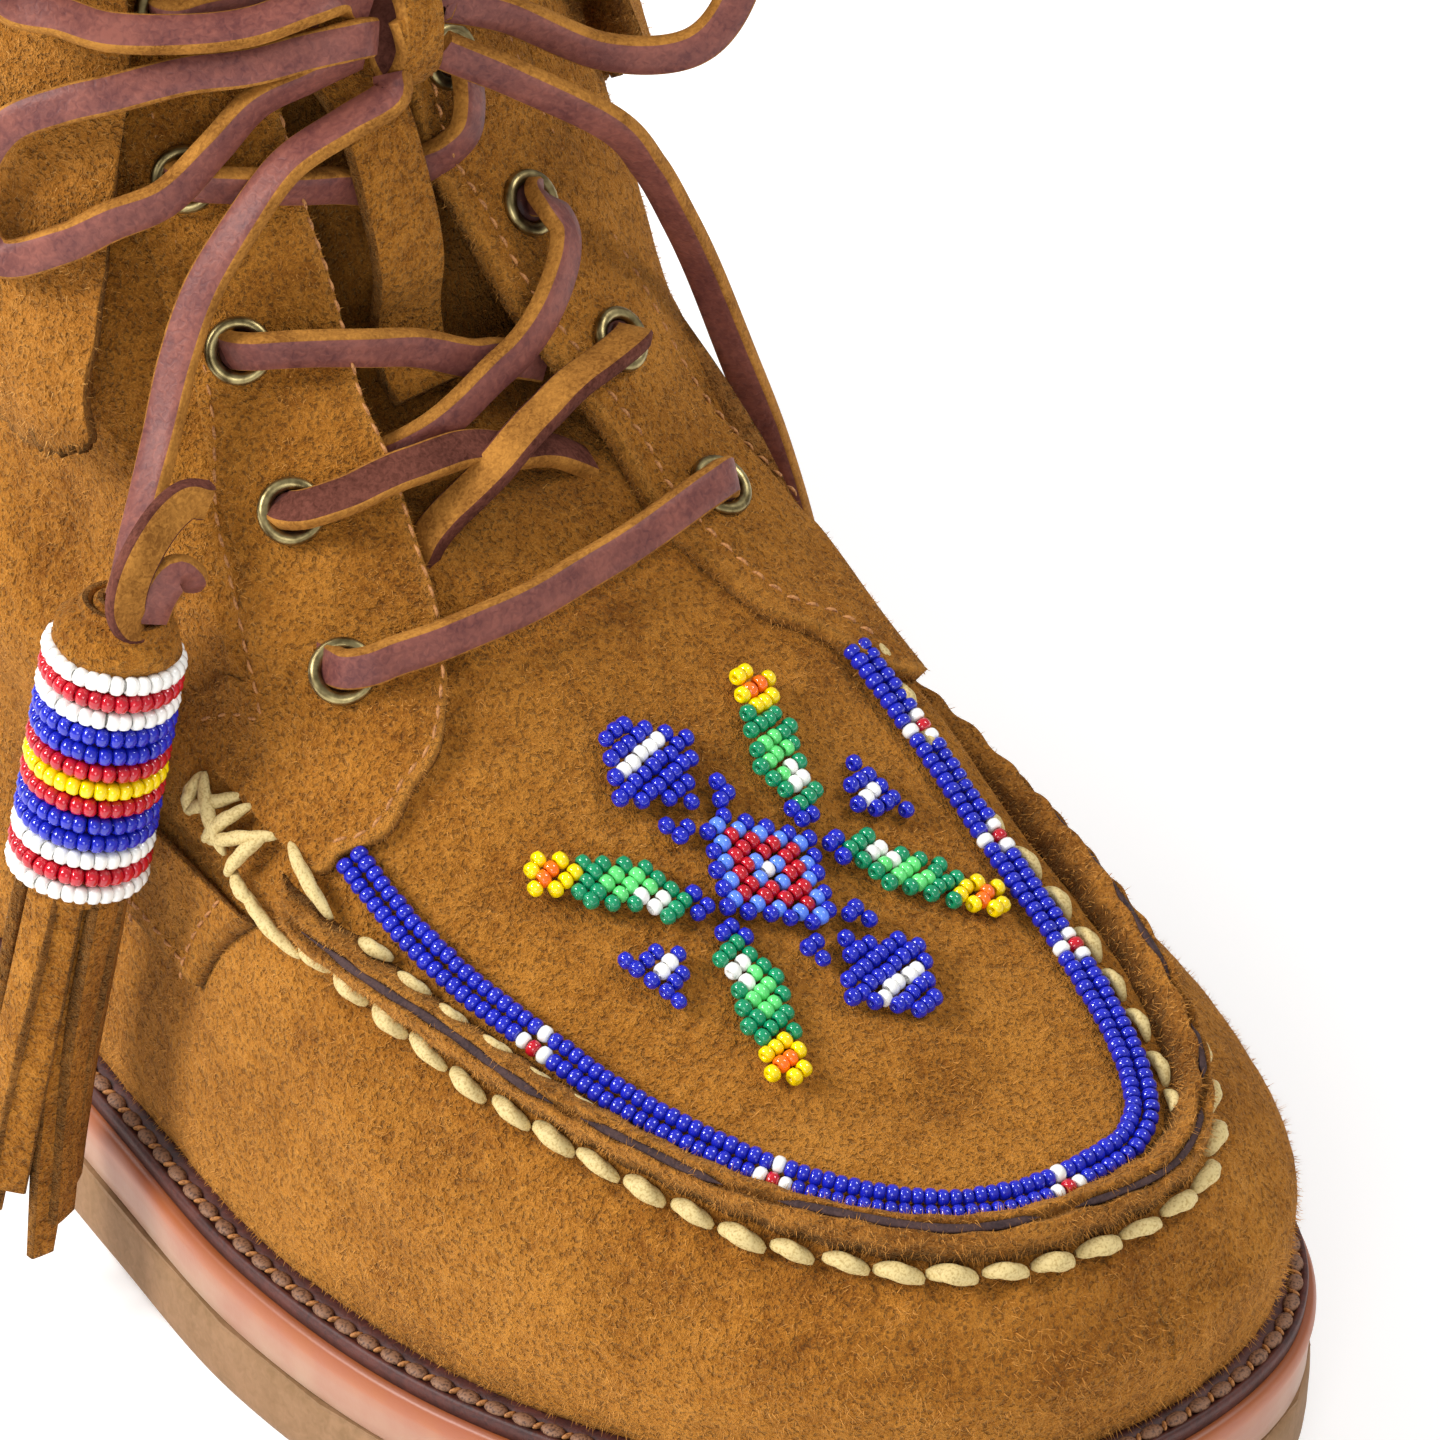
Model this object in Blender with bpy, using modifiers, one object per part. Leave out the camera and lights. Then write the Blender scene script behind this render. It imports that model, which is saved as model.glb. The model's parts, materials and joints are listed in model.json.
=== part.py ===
"""Right mukluk boot: moccasin-toe laced suede upper on a leather welt, midsole and flat outsole.

The frame has the toe towards -Y, the wearer's outer (lateral) side towards -X and up along +Z.
The origin lies on the floor under the middle of the sole. Everything is in metres.
"""

import math

import bmesh
import bpy
import numpy as np
from mathutils import Matrix, Vector

MM = 0.001

# Sole
SOLE_LENGTH = 0.298
BALL_WIDTH = 0.1115
OUTSOLE_THICKNESS = 0.0105
MIDSOLE_THICKNESS = 0.0085
WELT_THICKNESS = 0.0020
HEEL_RISE = 0.003
TOE_SPRING = 0.0045
SPRING_START = 0.62
WELT_SHOWING = 0.0034
WELT_SETBACK = 0.0010
WELT_STRIP = 0.012
INSOLE_THICKNESS = 0.003
TREAD_DEPTH = 0.0022
TREAD_WIDTH = 0.0030
TREAD_PITCH = 0.0105
TREAD_BORDER = 0.011
EDGE_ROUND = 0.0010

# Upper
INSTEP_RISE = 0.084
WALL = 0.0020
BULGE_HEIGHT = 0.011
BULGE = 0.0012
SEAM_WIDTH = 0.0062
SEAM_HEIGHT = 0.0030
FACING_THICKNESS = 0.0014
PATCH_THICKNESS = 0.0010
PATCH_LAY = 0.0010
BACKSTAY_WIDTH = 0.022
BACKSTAY_THICKNESS = 0.0012
TONGUE_THICKNESS = 0.0020
TONGUE_SINK = 0.0065
KEEPER_WIDTH = 0.0100
KEEPER_THICKNESS = 0.0018
KEEPER_ROOM = 0.0066
CUFF_THICKNESS = 0.0022
CUFF_FLARE = 0.0042
CUFF_TURN_IN = 0.008
CUFF_SEAT = 0.0012

# Fittings and lace
EYELET_DIAMETER = 0.0083
EYELET_BORE = 0.0044
EYELET_HEIGHT = 0.0009
EYELET_METAL = 0.0004
LACE_DIAMETER = 0.0028
KNOT_SIZE = 0.0105
WRAP_DIAMETER = 0.0172
WRAP_LENGTH = 0.0315
WRAP_BEAD = 0.0021
FRINGE_STRIPS = 6
FRINGE_LENGTH = 0.055
FRINGE_THICKNESS = 0.0018
TASSEL_TOP = 0.005

# Gap between pieces that touch, and under a piece that follows the upper's curve
GAP = 0.0003
LAY = 0.0006

SOLE_TOP = OUTSOLE_THICKNESS + MIDSOLE_THICKNESS + WELT_THICKNESS + 2 * GAP

# The sole's outline: share of the length from the heel, half widths as shares of the ball width.
OUTLINE = [
    # station, lateral, medial
    (0.012, 0.130, 0.161),
    (0.050, 0.262, 0.272),
    (0.120, 0.333, 0.338),
    (0.220, 0.353, 0.350),
    (0.330, 0.358, 0.335),
    (0.451, 0.389, 0.339),
    (0.573, 0.450, 0.398),
    (0.675, 0.496, 0.467),
    (0.776, 0.486, 0.501),
    (0.868, 0.410, 0.487),
    (0.939, 0.287, 0.417),
    (0.985, 0.114, 0.279),
]
HEEL_TIP = 0.010
TOE_TIP = 0.080

# The upper's two lowest rings follow the sole's outline; the third does so with its own heights.
SHOULDER_INSET = 0.0063
SHOULDER_RISE = {"front": 0.243, "lateral": 0.386, "medial": 0.398, "back": 0.481}
OUTLINE_WIDEST = {"lateral": 0.668, "medial": 0.708}
OUTLINE_ROUND = {"lateral": 2.6, "medial": 2.2, "back": 2.6}

# The upper's free rings from the moccasin seam up to the collar. x and half widths are shares of
# the ball width, stations are shares of the sole's length from the heel, and rises are shares of
# the instep rise above the sole. The rounds are the exponents of the ring's corners.
RINGS = [
    # front x, station, rise | lateral half, station, rise | medial half, station, rise
    # | back x, station, rise | rounds lateral, medial, back
    ("seam", (0.117, 0.951, 0.350), (0.399, 0.668, 0.535), (0.322, 0.708, 0.564),
     (0.027, 0.050, 0.790), (2.75, 1.95, 2.6)),
    ("apron low", (0.090, 0.876, 0.439), (0.341, 0.628, 0.683), (0.314, 0.661, 0.690),
     (0.036, 0.064, 1.029), (2.5, 2.2, 2.5)),
    ("apron high", (0.063, 0.789, 0.564), (0.323, 0.567, 0.850), (0.330, 0.594, 0.862),
     (0.036, 0.074, 1.195), (2.4, 2.3, 2.5)),
    ("instep low", (0.036, 0.708, 0.719), (0.323, 0.500, 1.005), (0.358, 0.517, 0.996),
     (0.036, 0.087, 1.338), (2.4, 2.4, 2.4)),
    ("instep", (0.018, 0.638, 0.862), (0.332, 0.450, 1.124), (0.386, 0.460, 1.106),
     (0.036, 0.097, 1.481), (2.3, 2.5, 2.4)),
    ("instep high", (0.018, 0.591, 1.029), (0.341, 0.406, 1.243), (0.424, 0.412, 1.243),
     (0.036, 0.104, 1.600), (2.2, 2.5, 2.4)),
    ("ankle low", (0.018, 0.547, 1.207), (0.350, 0.372, 1.386), (0.442, 0.385, 1.386),
     (0.036, 0.109, 1.683), (2.2, 2.5, 2.3)),
    ("ankle", (0.018, 0.513, 1.410), (0.354, 0.346, 1.552), (0.446, 0.360, 1.552),
     (0.036, 0.112, 1.767), (2.2, 2.4, 2.3)),
    ("shaft", (0.018, 0.487, 1.648), (0.359, 0.319, 1.743), (0.442, 0.330, 1.743),
     (0.036, 0.114, 1.886), (2.2, 2.3, 2.2)),
    ("collar", (0.018, 0.470, 1.957), (0.368, 0.299, 1.981), (0.428, 0.299, 1.981),
     (0.036, 0.111, 2.005), (2.2, 2.2, 2.2)),
]
RISE_CURVE = 1.2
SEAM_LEVEL = 3.0
TOP_LEVEL = 2.0 + len(RINGS)

# Places on the upper are a level, counted in rings from the sole, and a turn round the boot:
# 0 at the front, -1 at the lateral side, 1 at the medial side and 2 or -2 at the back.
THROAT_LEVEL = 6.60
THROAT = [
    # level, lateral edge, medial edge
    (6.60, 0.000, 0.000),
    (6.75, 0.180, 0.120),
    (7.00, 0.270, 0.195),
    (7.40, 0.285, 0.200),
    (7.90, 0.265, 0.165),
    (8.40, 0.245, 0.120),
    (9.00, 0.205, 0.060),
    (10.0, 0.185, 0.038),
    (12.0, 0.180, 0.050),
]
FACING = {
    # front level, front turn, rear level, rear turn
    "lateral": [
        (11.60, -0.165, 11.60, -0.440),
        (10.70, -0.165, 10.70, -0.450),
        (9.54, -0.180, 9.60, -0.490),
        (9.00, -0.185, 9.10, -0.500),
        (8.56, -0.205, 8.60, -0.520),
        (8.18, -0.225, 8.10, -0.540),
        (7.74, -0.225, 7.60, -0.580),
        (7.24, -0.245, 6.90, -0.650),
        (6.84, -0.280, 6.30, -0.740),
        (6.38, -0.365, 5.80, -0.830),
        (6.04, -0.445, 5.40, -0.900),
        (5.70, -0.530, 5.00, -0.950),
        (4.98, -0.725, 4.50, -1.000),
        (3.92, -0.935, 4.00, -1.030),
        (3.45, -0.990, 3.55, -1.050),
    ],
    "medial": [
        (11.60, 0.045, 11.60, 0.300),
        (10.70, 0.040, 10.70, 0.290),
        (10.06, 0.035, 10.06, 0.290),
        (9.50, 0.028, 9.50, 0.300),
        (9.06, 0.045, 9.06, 0.330),
        (8.42, 0.065, 8.42, 0.370),
        (7.78, 0.110, 7.70, 0.430),
        (7.34, 0.145, 7.10, 0.490),
        (6.94, 0.155, 6.70, 0.530),
        (6.44, 0.195, 6.10, 0.600),
        (6.12, 0.240, 5.60, 0.680),
        (5.80, 0.340, 5.20, 0.780),
        (5.42, 0.435, 4.80, 0.860),
        (4.70, 0.660, 4.30, 0.950),
        (3.98, 0.880, 3.98, 1.000),
        (3.55, 0.960, 3.62, 1.020),
    ],
}
EYELETS = {
    # level, turn
    "lateral": [(5.86, -0.655), (7.30, -0.470), (8.46, -0.415), (9.64, -0.385), (10.70, -0.330)],
    "medial": [(6.70, 0.330), (7.90, 0.225), (8.94, 0.155), (10.00, 0.105), (10.90, 0.115)],
}
# Lace over the tongue. Each strand's points are a level, a turn and its height above the upper as
# a share of its height where it lies on an eyelet.
STRANDS = {
    "lace_bar_low": [
        [(5.86, -0.655, 1.0), (6.30, -0.460, 1.0), (6.60, -0.275, 1.0), (6.78, -0.080, 0.75),
         (6.84, 0.080, 0.75), (6.82, 0.200, 1.0), (6.70, 0.330, 1.0)]],
    "lace_cross_low": [
        [(7.30, -0.470, 1.0), (7.55, -0.350, 1.0), (7.70, -0.240, 0.95), (7.77, -0.095, 0.50),
         (7.60, 0.020, 0.22), (7.38, 0.095, -0.30), (7.32, 0.125, -0.40)],
        [(7.90, 0.225, 1.0), (7.90, 0.140, 1.0), (7.86, 0.055, 0.80), (7.64, -0.055, 0.44),
         (7.36, -0.190, 0.00), (7.18, -0.245, -0.36)]],
    "lace_cross_high": [
        [(8.46, -0.415, 1.0), (8.50, -0.300, 1.0), (8.50, -0.215, 0.95), (8.48, -0.095, 0.50),
         (8.30, 0.005, 0.34), (8.10, 0.072, -0.24), (8.04, 0.095, -0.42)],
        [(8.94, 0.155, 1.0), (8.60, 0.155, 1.0), (8.32, 0.100, 0.95), (8.17, 0.040, 0.26),
         (7.98, -0.100, 0.05), (7.86, -0.215, -0.36)]],
    "lace_top_lateral": [
        [(10.70, -0.330, 1.0), (10.76, -0.250, 0.95), (10.72, -0.170, 0.90), (10.60, -0.085, 0.80)]],
    "lace_top_medial": [
        [(10.90, 0.115, 1.0), (10.86, 0.080, 1.0), (10.76, 0.048, 0.80)]],
}
KEEPER_SHIFT = -0.02
KEEPER_CROSSING = 9.42
KEEPER_BAR = [
    # level, turn, height share on each side of the keeper, from the lateral eyelet to the keeper
    [(9.64, -0.385, 1.0), (9.62, -0.280, 1.0), (9.58, -0.195, 0.95), (9.52, -0.110, 0.30)],
    [(9.44, 0.033, 1.30), (9.54, 0.065, 1.20), (9.72, 0.090, 1.05), (10.00, 0.105, 1.0)],
]
SEAM_ENDS = (-1.045, 1.020)
PATCH = {
    # front and rear corners of each row, from the seam down to the point
    "lateral": [(2.66, -1.008, 2.72, -1.072), (2.20, -1.014, 2.22, -1.066), (1.76, -1.020, 1.72, -1.060)],
    "medial": [(2.66, 1.008, 2.72, 1.072), (2.20, 1.014, 2.22, 1.066), (1.76, 1.020, 1.72, 1.060)],
}
# The cuff's lower edge: turn counted on from the front over the lateral side, height as a share
# of the collar's height.
CUFF_HEM = [(0.40, 0.575), (0.87, 0.558), (1.07, 0.518), (1.20, 0.490), (1.50, 0.480),
            (2.00, 0.520), (3.00, 0.600), (3.40, 0.660), (3.60, 0.690)]
# The cuff's two front edges: height as a share of the collar's height, turn on each side.
CUFF_FRONT = [(0.55, 0.890, 0.70), (0.62, 0.675, 0.60), (0.69, 0.565, 0.52), (0.76, 0.490, 0.48),
              (0.83, 0.430, 0.45), (1.00, 0.370, 0.41)]

# Lace routes that hang free, in millimetres: x, y, z of points chosen by hand.
ROUTES = {
    "lace_end_lateral": [
        (-3, -13.5, 146), (-8.5, -12, 143.5), (-16, -10.8, 140.5), (-22.5, -10.8, 135),
        (-27.8, -10, 127.4), (-32.2, -11, 119.7), (-36.5, -13.5, 112.5), (-41, -16.5, 107.5),
        (-45.5, -20, 104.5), (-48, -22, 102)],
    "lace_end_medial": [
        (8, -12.5, 147), (14, -16.9, 143.4), (24, -22.4, 136), (30, -23, 127.8),
        (35, -23.1, 118.5), (40, -22.5, 108.6), (45, -23.5, 95.3), (51, -24.2, 79.6),
        (56, -25.2, 62.9), (61, -24.7, 44.9), (66, -20, 28), (70, -10, 16), (72, 2, 11),
        (73, 11, 9.8)],
    "lace_loop_long": [
        (-6, -11, 154), (-11.2, -8.5, 153.2), (-17.8, -5.8, 152.2), (-24.2, -1.8, 151.5),
        (-31.5, 2.4, 149.7), (-36, 6.2, 147.9), (-40.2, 10.6, 144.5), (-42.8, 12.6, 139),
        (-44.2, 12.0, 132.5), (-43.4, 8.0, 128.6), (-39, 2.2, 131.8), (-34.8, -1.4, 135.2),
        (-28.8, -4.2, 137.6), (-22.6, -5.2, 142.4), (-17, -6, 147.0), (-11, -8, 149.2),
        (-5.5, -9, 150.3)],
    "lace_loop_short": [
        (-5.5, -7.5, 158), (-10, -7.5, 158.6), (-17, -5.2, 157.2), (-23.4, -1.6, 156.8),
        (-31, 3.6, 157.4), (-34.8, 8.4, 158.6), (-38, 13.3, 159), (-39.2, 16.4, 163),
        (-35.8, 12.6, 168), (-30, 6.4, 169), (-22, 1.2, 167.4), (-13.5, -4.2, 166.4),
        (-6, -7.5, 165), (0, -8, 162)],
    "lace_loop_right": [
        (8.5, -9.5, 152.5), (16, -12.5, 149.5), (27, -17.5, 142.5), (36, -22.5, 142),
        (42, -23.4, 147), (45, -22, 156), (42, -18, 165), (34, -14, 169.5), (24, -11, 168.5),
        (15, -10, 164.5), (8, -9.5, 159)],
}
TASSEL_CORDS = {"lace_end_lateral": "lateral", "lace_end_medial": "medial"}
KNOT_CENTRE = (2.0, -9.0, 151.0)
KNOT_FORM = (1.0, 0.75, 1.2)
TASSELS = {
    # top of the suede roll, and the way it hangs or lies
    "lateral": ((-49.9, -23.0, 99.0), (-0.165, 0.020, -1.0)),
    "medial": ((72.0, 18.0, 9.6), (0.03, 1.0, -0.010)),
}

COLOURS = {
    "suede": ((0.434, 0.171, 0.028), 0.95, 0.0),
    "cuff_suede": ((0.578, 0.247, 0.042), 0.95, 0.0),
    "outsole": ((0.434, 0.254, 0.133), 0.75, 0.0),
    "midsole": ((0.434, 0.195, 0.123), 0.45, 0.0),
    "welt": ((0.069, 0.018, 0.018), 0.5, 0.0),
    "insole": ((0.578, 0.402, 0.235), 0.7, 0.0),
    "lace": ((0.195, 0.069, 0.078), 0.5, 0.0),
    "brass": ((0.392, 0.314, 0.138), 0.35, 1.0),
    "beads": ((0.016, 0.028, 0.434), 0.2, 0.0),
}


# Scene helpers


def clear_scene():
    for obj in list(bpy.data.objects):
        bpy.data.objects.remove(obj, do_unlink=True)


def collection(name):
    made = bpy.data.collections.new(name)
    bpy.context.scene.collection.children.link(made)
    return made


def material(name):
    colour, roughness, metallic = COLOURS[name]
    made = bpy.data.materials.new(name)
    made.use_nodes = True
    shader = made.node_tree.nodes["Principled BSDF"]
    shader.inputs["Base Color"].default_value = (*colour, 1.0)
    shader.inputs["Roughness"].default_value = roughness
    shader.inputs["Metallic"].default_value = metallic
    made.diffuse_color = (*colour, 1.0)
    return made


def add_mesh(name, verts, faces, slot, place):
    mesh = bpy.data.meshes.new(name)
    mesh.from_pydata([tuple(float(c) for c in v) for v in verts], [], faces)
    work = bmesh.new()
    work.from_mesh(mesh)
    bmesh.ops.recalc_face_normals(work, faces=work.faces)
    bmesh.ops.triangulate(work, faces=[f for f in work.faces if len(f.verts) > 4])
    work.to_mesh(mesh)
    work.free()
    mesh.shade_smooth()
    mesh.set_sharp_from_angle(angle=math.radians(40))
    obj = bpy.data.objects.new(name, mesh)
    obj.data.materials.append(MATERIALS[slot])
    place.objects.link(obj)
    return obj


def evaluated_mesh(obj):
    graph = bpy.context.evaluated_depsgraph_get()
    graph.update()
    return bpy.data.meshes.new_from_object(obj.evaluated_get(graph))


# Curves and the sole's outline


def catmull(p0, p1, p2, p3, t):
    return 0.5 * (2 * p1 + (p2 - p0) * t + (2 * p0 - 5 * p1 + 4 * p2 - p3) * t * t
                  + (3 * p1 - p0 - 3 * p2 + p3) * t ** 3)


def smooth_route(points, spacing, closed=False):
    """Evenly spaced points on a smooth curve through the given ones."""
    pts = np.array(points, float)
    count = len(pts)
    pad = np.vstack([2 * pts[0] - pts[1], pts, 2 * pts[-1] - pts[-2]])
    t = np.linspace(0, 1, 12, endpoint=False)[:, None]
    if closed:
        spans = [catmull(pts[i - 1], pts[i], pts[(i + 1) % count], pts[(i + 2) % count], t)
                 for i in range(count)]
        return np.vstack(spans)
    spans = [catmull(pad[i], pad[i + 1], pad[i + 2], pad[i + 3], t) for i in range(count - 1)]
    dense = np.vstack(spans + [pts[-1:]])
    run = np.r_[0, np.cumsum(np.linalg.norm(np.diff(dense, axis=0), axis=1))]
    steps = max(3, int(round(run[-1] / spacing)))
    at = np.linspace(0, run[-1], steps + 1)
    return np.column_stack([np.interp(at, run, dense[:, k]) for k in range(3)])


def station_y(share):
    return SOLE_LENGTH * (0.5 - share)


def outline_curve():
    lateral = [(-lat * BALL_WIDTH, station_y(s)) for s, lat, med in OUTLINE]
    medial = [(med * BALL_WIDTH, station_y(s)) for s, lat, med in reversed(OUTLINE)]
    heel = [(HEEL_TIP * BALL_WIDTH, station_y(0.0))]
    toe = [(TOE_TIP * BALL_WIDTH, station_y(1.0))]
    return smooth_route(heel + lateral + toe + medial, 0.0, closed=True)


class Outline:
    """The sole's outline moved inwards, with its lateral and medial x at any y."""

    def __init__(self, inset):
        curve = outline_curve()
        run = np.roll(curve, -1, 0) - np.roll(curve, 1, 0)
        out = np.column_stack([-run[:, 1], run[:, 0]])
        out /= np.linalg.norm(out, axis=1)[:, None]
        if np.sum(out * (curve - curve.mean(0))) < 0:
            out = -out
        moved = curve - inset * out
        moved = np.roll(moved, -int(np.argmax(moved[:, 1])), 0)
        toe = int(np.argmin(moved[:, 1]))
        self.heel, self.toe = moved[0], moved[toe]
        self.lateral_side = moved[:toe + 1]
        self.medial_side = np.vstack([moved[toe:], moved[:1]])

    def lateral(self, y):
        return np.interp(-np.asarray(y), -self.lateral_side[:, 1], self.lateral_side[:, 0])

    def medial(self, y):
        return np.interp(y, self.medial_side[:, 1], self.medial_side[:, 0])


def spring(y):
    share = 0.5 - np.asarray(y) / SOLE_LENGTH
    return TOE_SPRING * np.clip((share - SPRING_START) / (1 - SPRING_START), 0, 1) ** 2


def heel_rise(y):
    share = np.clip(np.asarray(y) / SOLE_LENGTH / 0.35, 0, 1)
    return HEEL_RISE * share * share * (3 - 2 * share)


def sole_height(y, above_floor):
    """Height of a sole layer: the heel's rise is all in the outsole."""
    return above_floor + spring(y) + heel_rise(y)


# The upper's form


def ring_side(turn):
    return "lateral" if turn < 0 else "medial"


def corner(turn, round_front, round_back):
    """Along and across shares of a rounded quarter, and whether it is a front one."""
    q = abs(turn)
    front = q <= 1
    angle = (q if front else 2 - q) * math.pi / 2
    power = 2 / (round_front if front else round_back)
    return max(math.cos(angle), 0.0) ** power, max(math.sin(angle), 0.0) ** power, front


def rise_between(end, side, along):
    return end + (side - end) * max(1 - along, 0.0) ** RISE_CURVE


def outline_ring(form, heights, turn):
    name = ring_side(turn)
    along, across, front = corner(turn, OUTLINE_ROUND[name], OUTLINE_ROUND["back"])
    y_side = station_y(OUTLINE_WIDEST[name])
    end = form.toe if front else form.heel
    y = y_side + (end[1] - y_side) * along
    x = form.lateral(y) if name == "lateral" else form.medial(y)
    if along > 0.9999:
        x = end[0]
    if isinstance(heights, float):
        z = sole_height(y, SOLE_TOP) + heights
    else:
        level = rise_between(heights["front" if front else "back"], heights[name], along)
        z = SOLE_TOP + level * INSTEP_RISE
    return np.array([float(x), y, float(z)])


def free_ring(row, turn):
    name, front_end, lateral, medial, back_end, rounds = row
    outer = turn < 0
    along, across, front = corner(turn, rounds[0] if outer else rounds[1], rounds[2])
    side = lateral if outer else medial
    end = front_end if front else back_end
    y_side, y_end = station_y(side[1]), station_y(end[1])
    x = end[0] * BALL_WIDTH * along + (-1 if outer else 1) * side[0] * BALL_WIDTH * across
    y = y_side + (y_end - y_side) * along
    z = SOLE_TOP + INSTEP_RISE * rise_between(end[2], side[2], along)
    return np.array([x, y, z])


def ring_point(index, turn):
    if index == 0:
        return outline_ring(FEATHER, GAP, turn)
    if index == 1:
        return outline_ring(BULGED, BULGE_HEIGHT, turn)
    if index == 2:
        return outline_ring(SHOULDER, SHOULDER_RISE, turn)
    return free_ring(RINGS[index - 3], turn)


def bare_skin(level, turn):
    turn = (turn + 2) % 4 - 2
    level = min(max(level, 0.0), TOP_LEVEL)
    low = min(int(level), int(TOP_LEVEL) - 1)
    around = [min(max(k, 0), int(TOP_LEVEL)) for k in (low - 1, low, low + 1, low + 2)]
    return catmull(*[ring_point(k, turn) for k in around], level - low)


def skin_normal(level, turn):
    step = 0.02
    up = bare_skin(level + step, turn) - bare_skin(level - step, turn)
    along = bare_skin(level, turn + step) - bare_skin(level, turn - step)
    out = np.cross(along, up)
    return out / np.linalg.norm(out)


def skin(level, turn, lift=0.0):
    """A point on the upper, or this far outside it."""
    point = bare_skin(level, turn)
    if lift:
        point = point + skin_normal(level, turn) * lift
    return point


def level_at(turn, height):
    """The level at which the upper reaches a height, at this turn."""
    low, high = 1.5, TOP_LEVEL
    for _ in range(24):
        middle = (low + high) / 2
        if bare_skin(middle, turn)[2] < height:
            low = middle
        else:
            high = middle
    return (low + high) / 2


def table_value(table, at, column):
    return float(np.interp(at, [row[0] for row in table], [row[column] for row in table]))


def on_turn(count_on):
    """Turn from a count that runs on from the front over the lateral side."""
    return -count_on if count_on <= 2 else 4 - count_on


# Solids from grids and loops


def grid_solid(name, outer, inner, slot, place):
    """A plate between two equal grids of points."""
    outer, inner = np.array(outer), np.array(inner)
    rows, cols = outer.shape[:2]
    verts = np.vstack([outer.reshape(-1, 3), inner.reshape(-1, 3)])
    shift = rows * cols
    faces = []
    for i in range(rows - 1):
        for j in range(cols - 1):
            a = i * cols + j
            quad = (a, a + 1, a + cols + 1, a + cols)
            faces.append(quad)
            faces.append(tuple(v + shift for v in reversed(quad)))
    edge = [(0, j) for j in range(cols)] + [(i, cols - 1) for i in range(1, rows)]
    edge += [(rows - 1, j) for j in range(cols - 2, -1, -1)] + [(i, 0) for i in range(rows - 2, 0, -1)]
    loop = [i * cols + j for i, j in edge]
    for a, b in zip(loop, loop[1:] + loop[:1]):
        faces.append((b, a, a + shift, b + shift))
    return add_mesh(name, verts, faces, slot, place)


def loop_solid(name, loops, slot, place, capped=True):
    """A body through equal closed loops, with its two ends filled or joined to each other."""
    loops = np.array(loops)
    count, size = loops.shape[:2]
    faces = []
    for i in range(count - 1 if capped else count):
        k = (i + 1) % count
        for j in range(size):
            m = (j + 1) % size
            faces.append((i * size + j, i * size + m, k * size + m, k * size + j))
    if capped:
        faces.append(tuple(range(size - 1, -1, -1)))
        faces.append(tuple((count - 1) * size + j for j in range(size)))
    return add_mesh(name, loops.reshape(-1, 3), faces, slot, place)


STATIONS = 22


def sole_loop(inset, height):
    """Points round the sole: heel, lateral side, toe, medial side."""
    form = Outline(inset)
    shares = (1 - np.cos(np.linspace(0, math.pi, STATIONS + 2)[1:-1])) / 2
    ys = form.heel[1] + (form.toe[1] - form.heel[1]) * shares
    lateral = [(float(form.lateral(y)), y) for y in ys]
    medial = [(float(form.medial(y)), y) for y in reversed(ys)]
    flat = [tuple(form.heel)] + lateral + [tuple(form.toe)] + medial
    return [(x, y, float(height(y))) for x, y in flat]


def sole_slab(name, profile, slot, place):
    """A layer of the sole: loops of (inset, height) from its underside to its top."""
    loops = [sole_loop(inset, height) for inset, height in profile]
    size = len(loops[0])
    verts = [p for loop in loops for p in loop]
    faces = []
    for i in range(len(loops) - 1):
        for j in range(size):
            k = (j + 1) % size
            faces.append((i * size + j, i * size + k, (i + 1) * size + k, (i + 1) * size + j))
    for base in (0, (len(loops) - 1) * size):
        faces.append((base, base + 1, base + size - 1))
        for k in range(1, STATIONS):
            faces.append((base + k, base + k + 1, base + size - k - 1, base + size - k))
        faces.append((base + STATIONS, base + STATIONS + 1, base + STATIONS + 2))
    return add_mesh(name, verts, faces, slot, place)


def cut(obj, cutter):
    step = obj.modifiers.new("cut", "BOOLEAN")
    step.operation = "DIFFERENCE"
    step.solver = "EXACT"
    step.object = cutter


def as_cutter(obj):
    obj.hide_render = True
    obj.display_type = "WIRE"


def box(name, centre, size, place):
    bpy.ops.mesh.primitive_cube_add(size=1.0, location=centre)
    obj = bpy.context.active_object
    obj.name = name
    obj.scale = size
    for old in obj.users_collection:
        old.objects.unlink(obj)
    place.objects.link(obj)
    return obj


# Sole


def make_outsole():
    top = OUTSOLE_THICKNESS
    profile = [
        (EDGE_ROUND * 1.5, spring),
        (EDGE_ROUND * 0.5, lambda y: spring(y) + EDGE_ROUND),
        (0.0, lambda y: sole_height(y, top)),
    ]
    sole = sole_slab("outsole", profile, "outsole", PARTS)
    reach = SOLE_LENGTH / 2 - TREAD_BORDER
    count = int(2 * reach / TREAD_PITCH)
    form = Outline(TREAD_BORDER)
    cutters = []
    for k in range(count):
        y = reach - (k + 0.5) * TREAD_PITCH
        share = 0.5 - y / SOLE_LENGTH
        if 0.36 < share < 0.50 or share < 0.07 or share > 0.94:
            continue
        left, right = float(form.lateral(y)), float(form.medial(y))
        centre = ((left + right) / 2, y, float(spring(y)) - TREAD_DEPTH / 2)
        groove = box(f"tread_cutter_{k + 1}", centre, (right - left, TREAD_WIDTH, 3 * TREAD_DEPTH),
                     CUTTERS)
        as_cutter(groove)
        cutters.append(groove)
    for groove in cutters:
        cut(sole, groove)
    return sole


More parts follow.
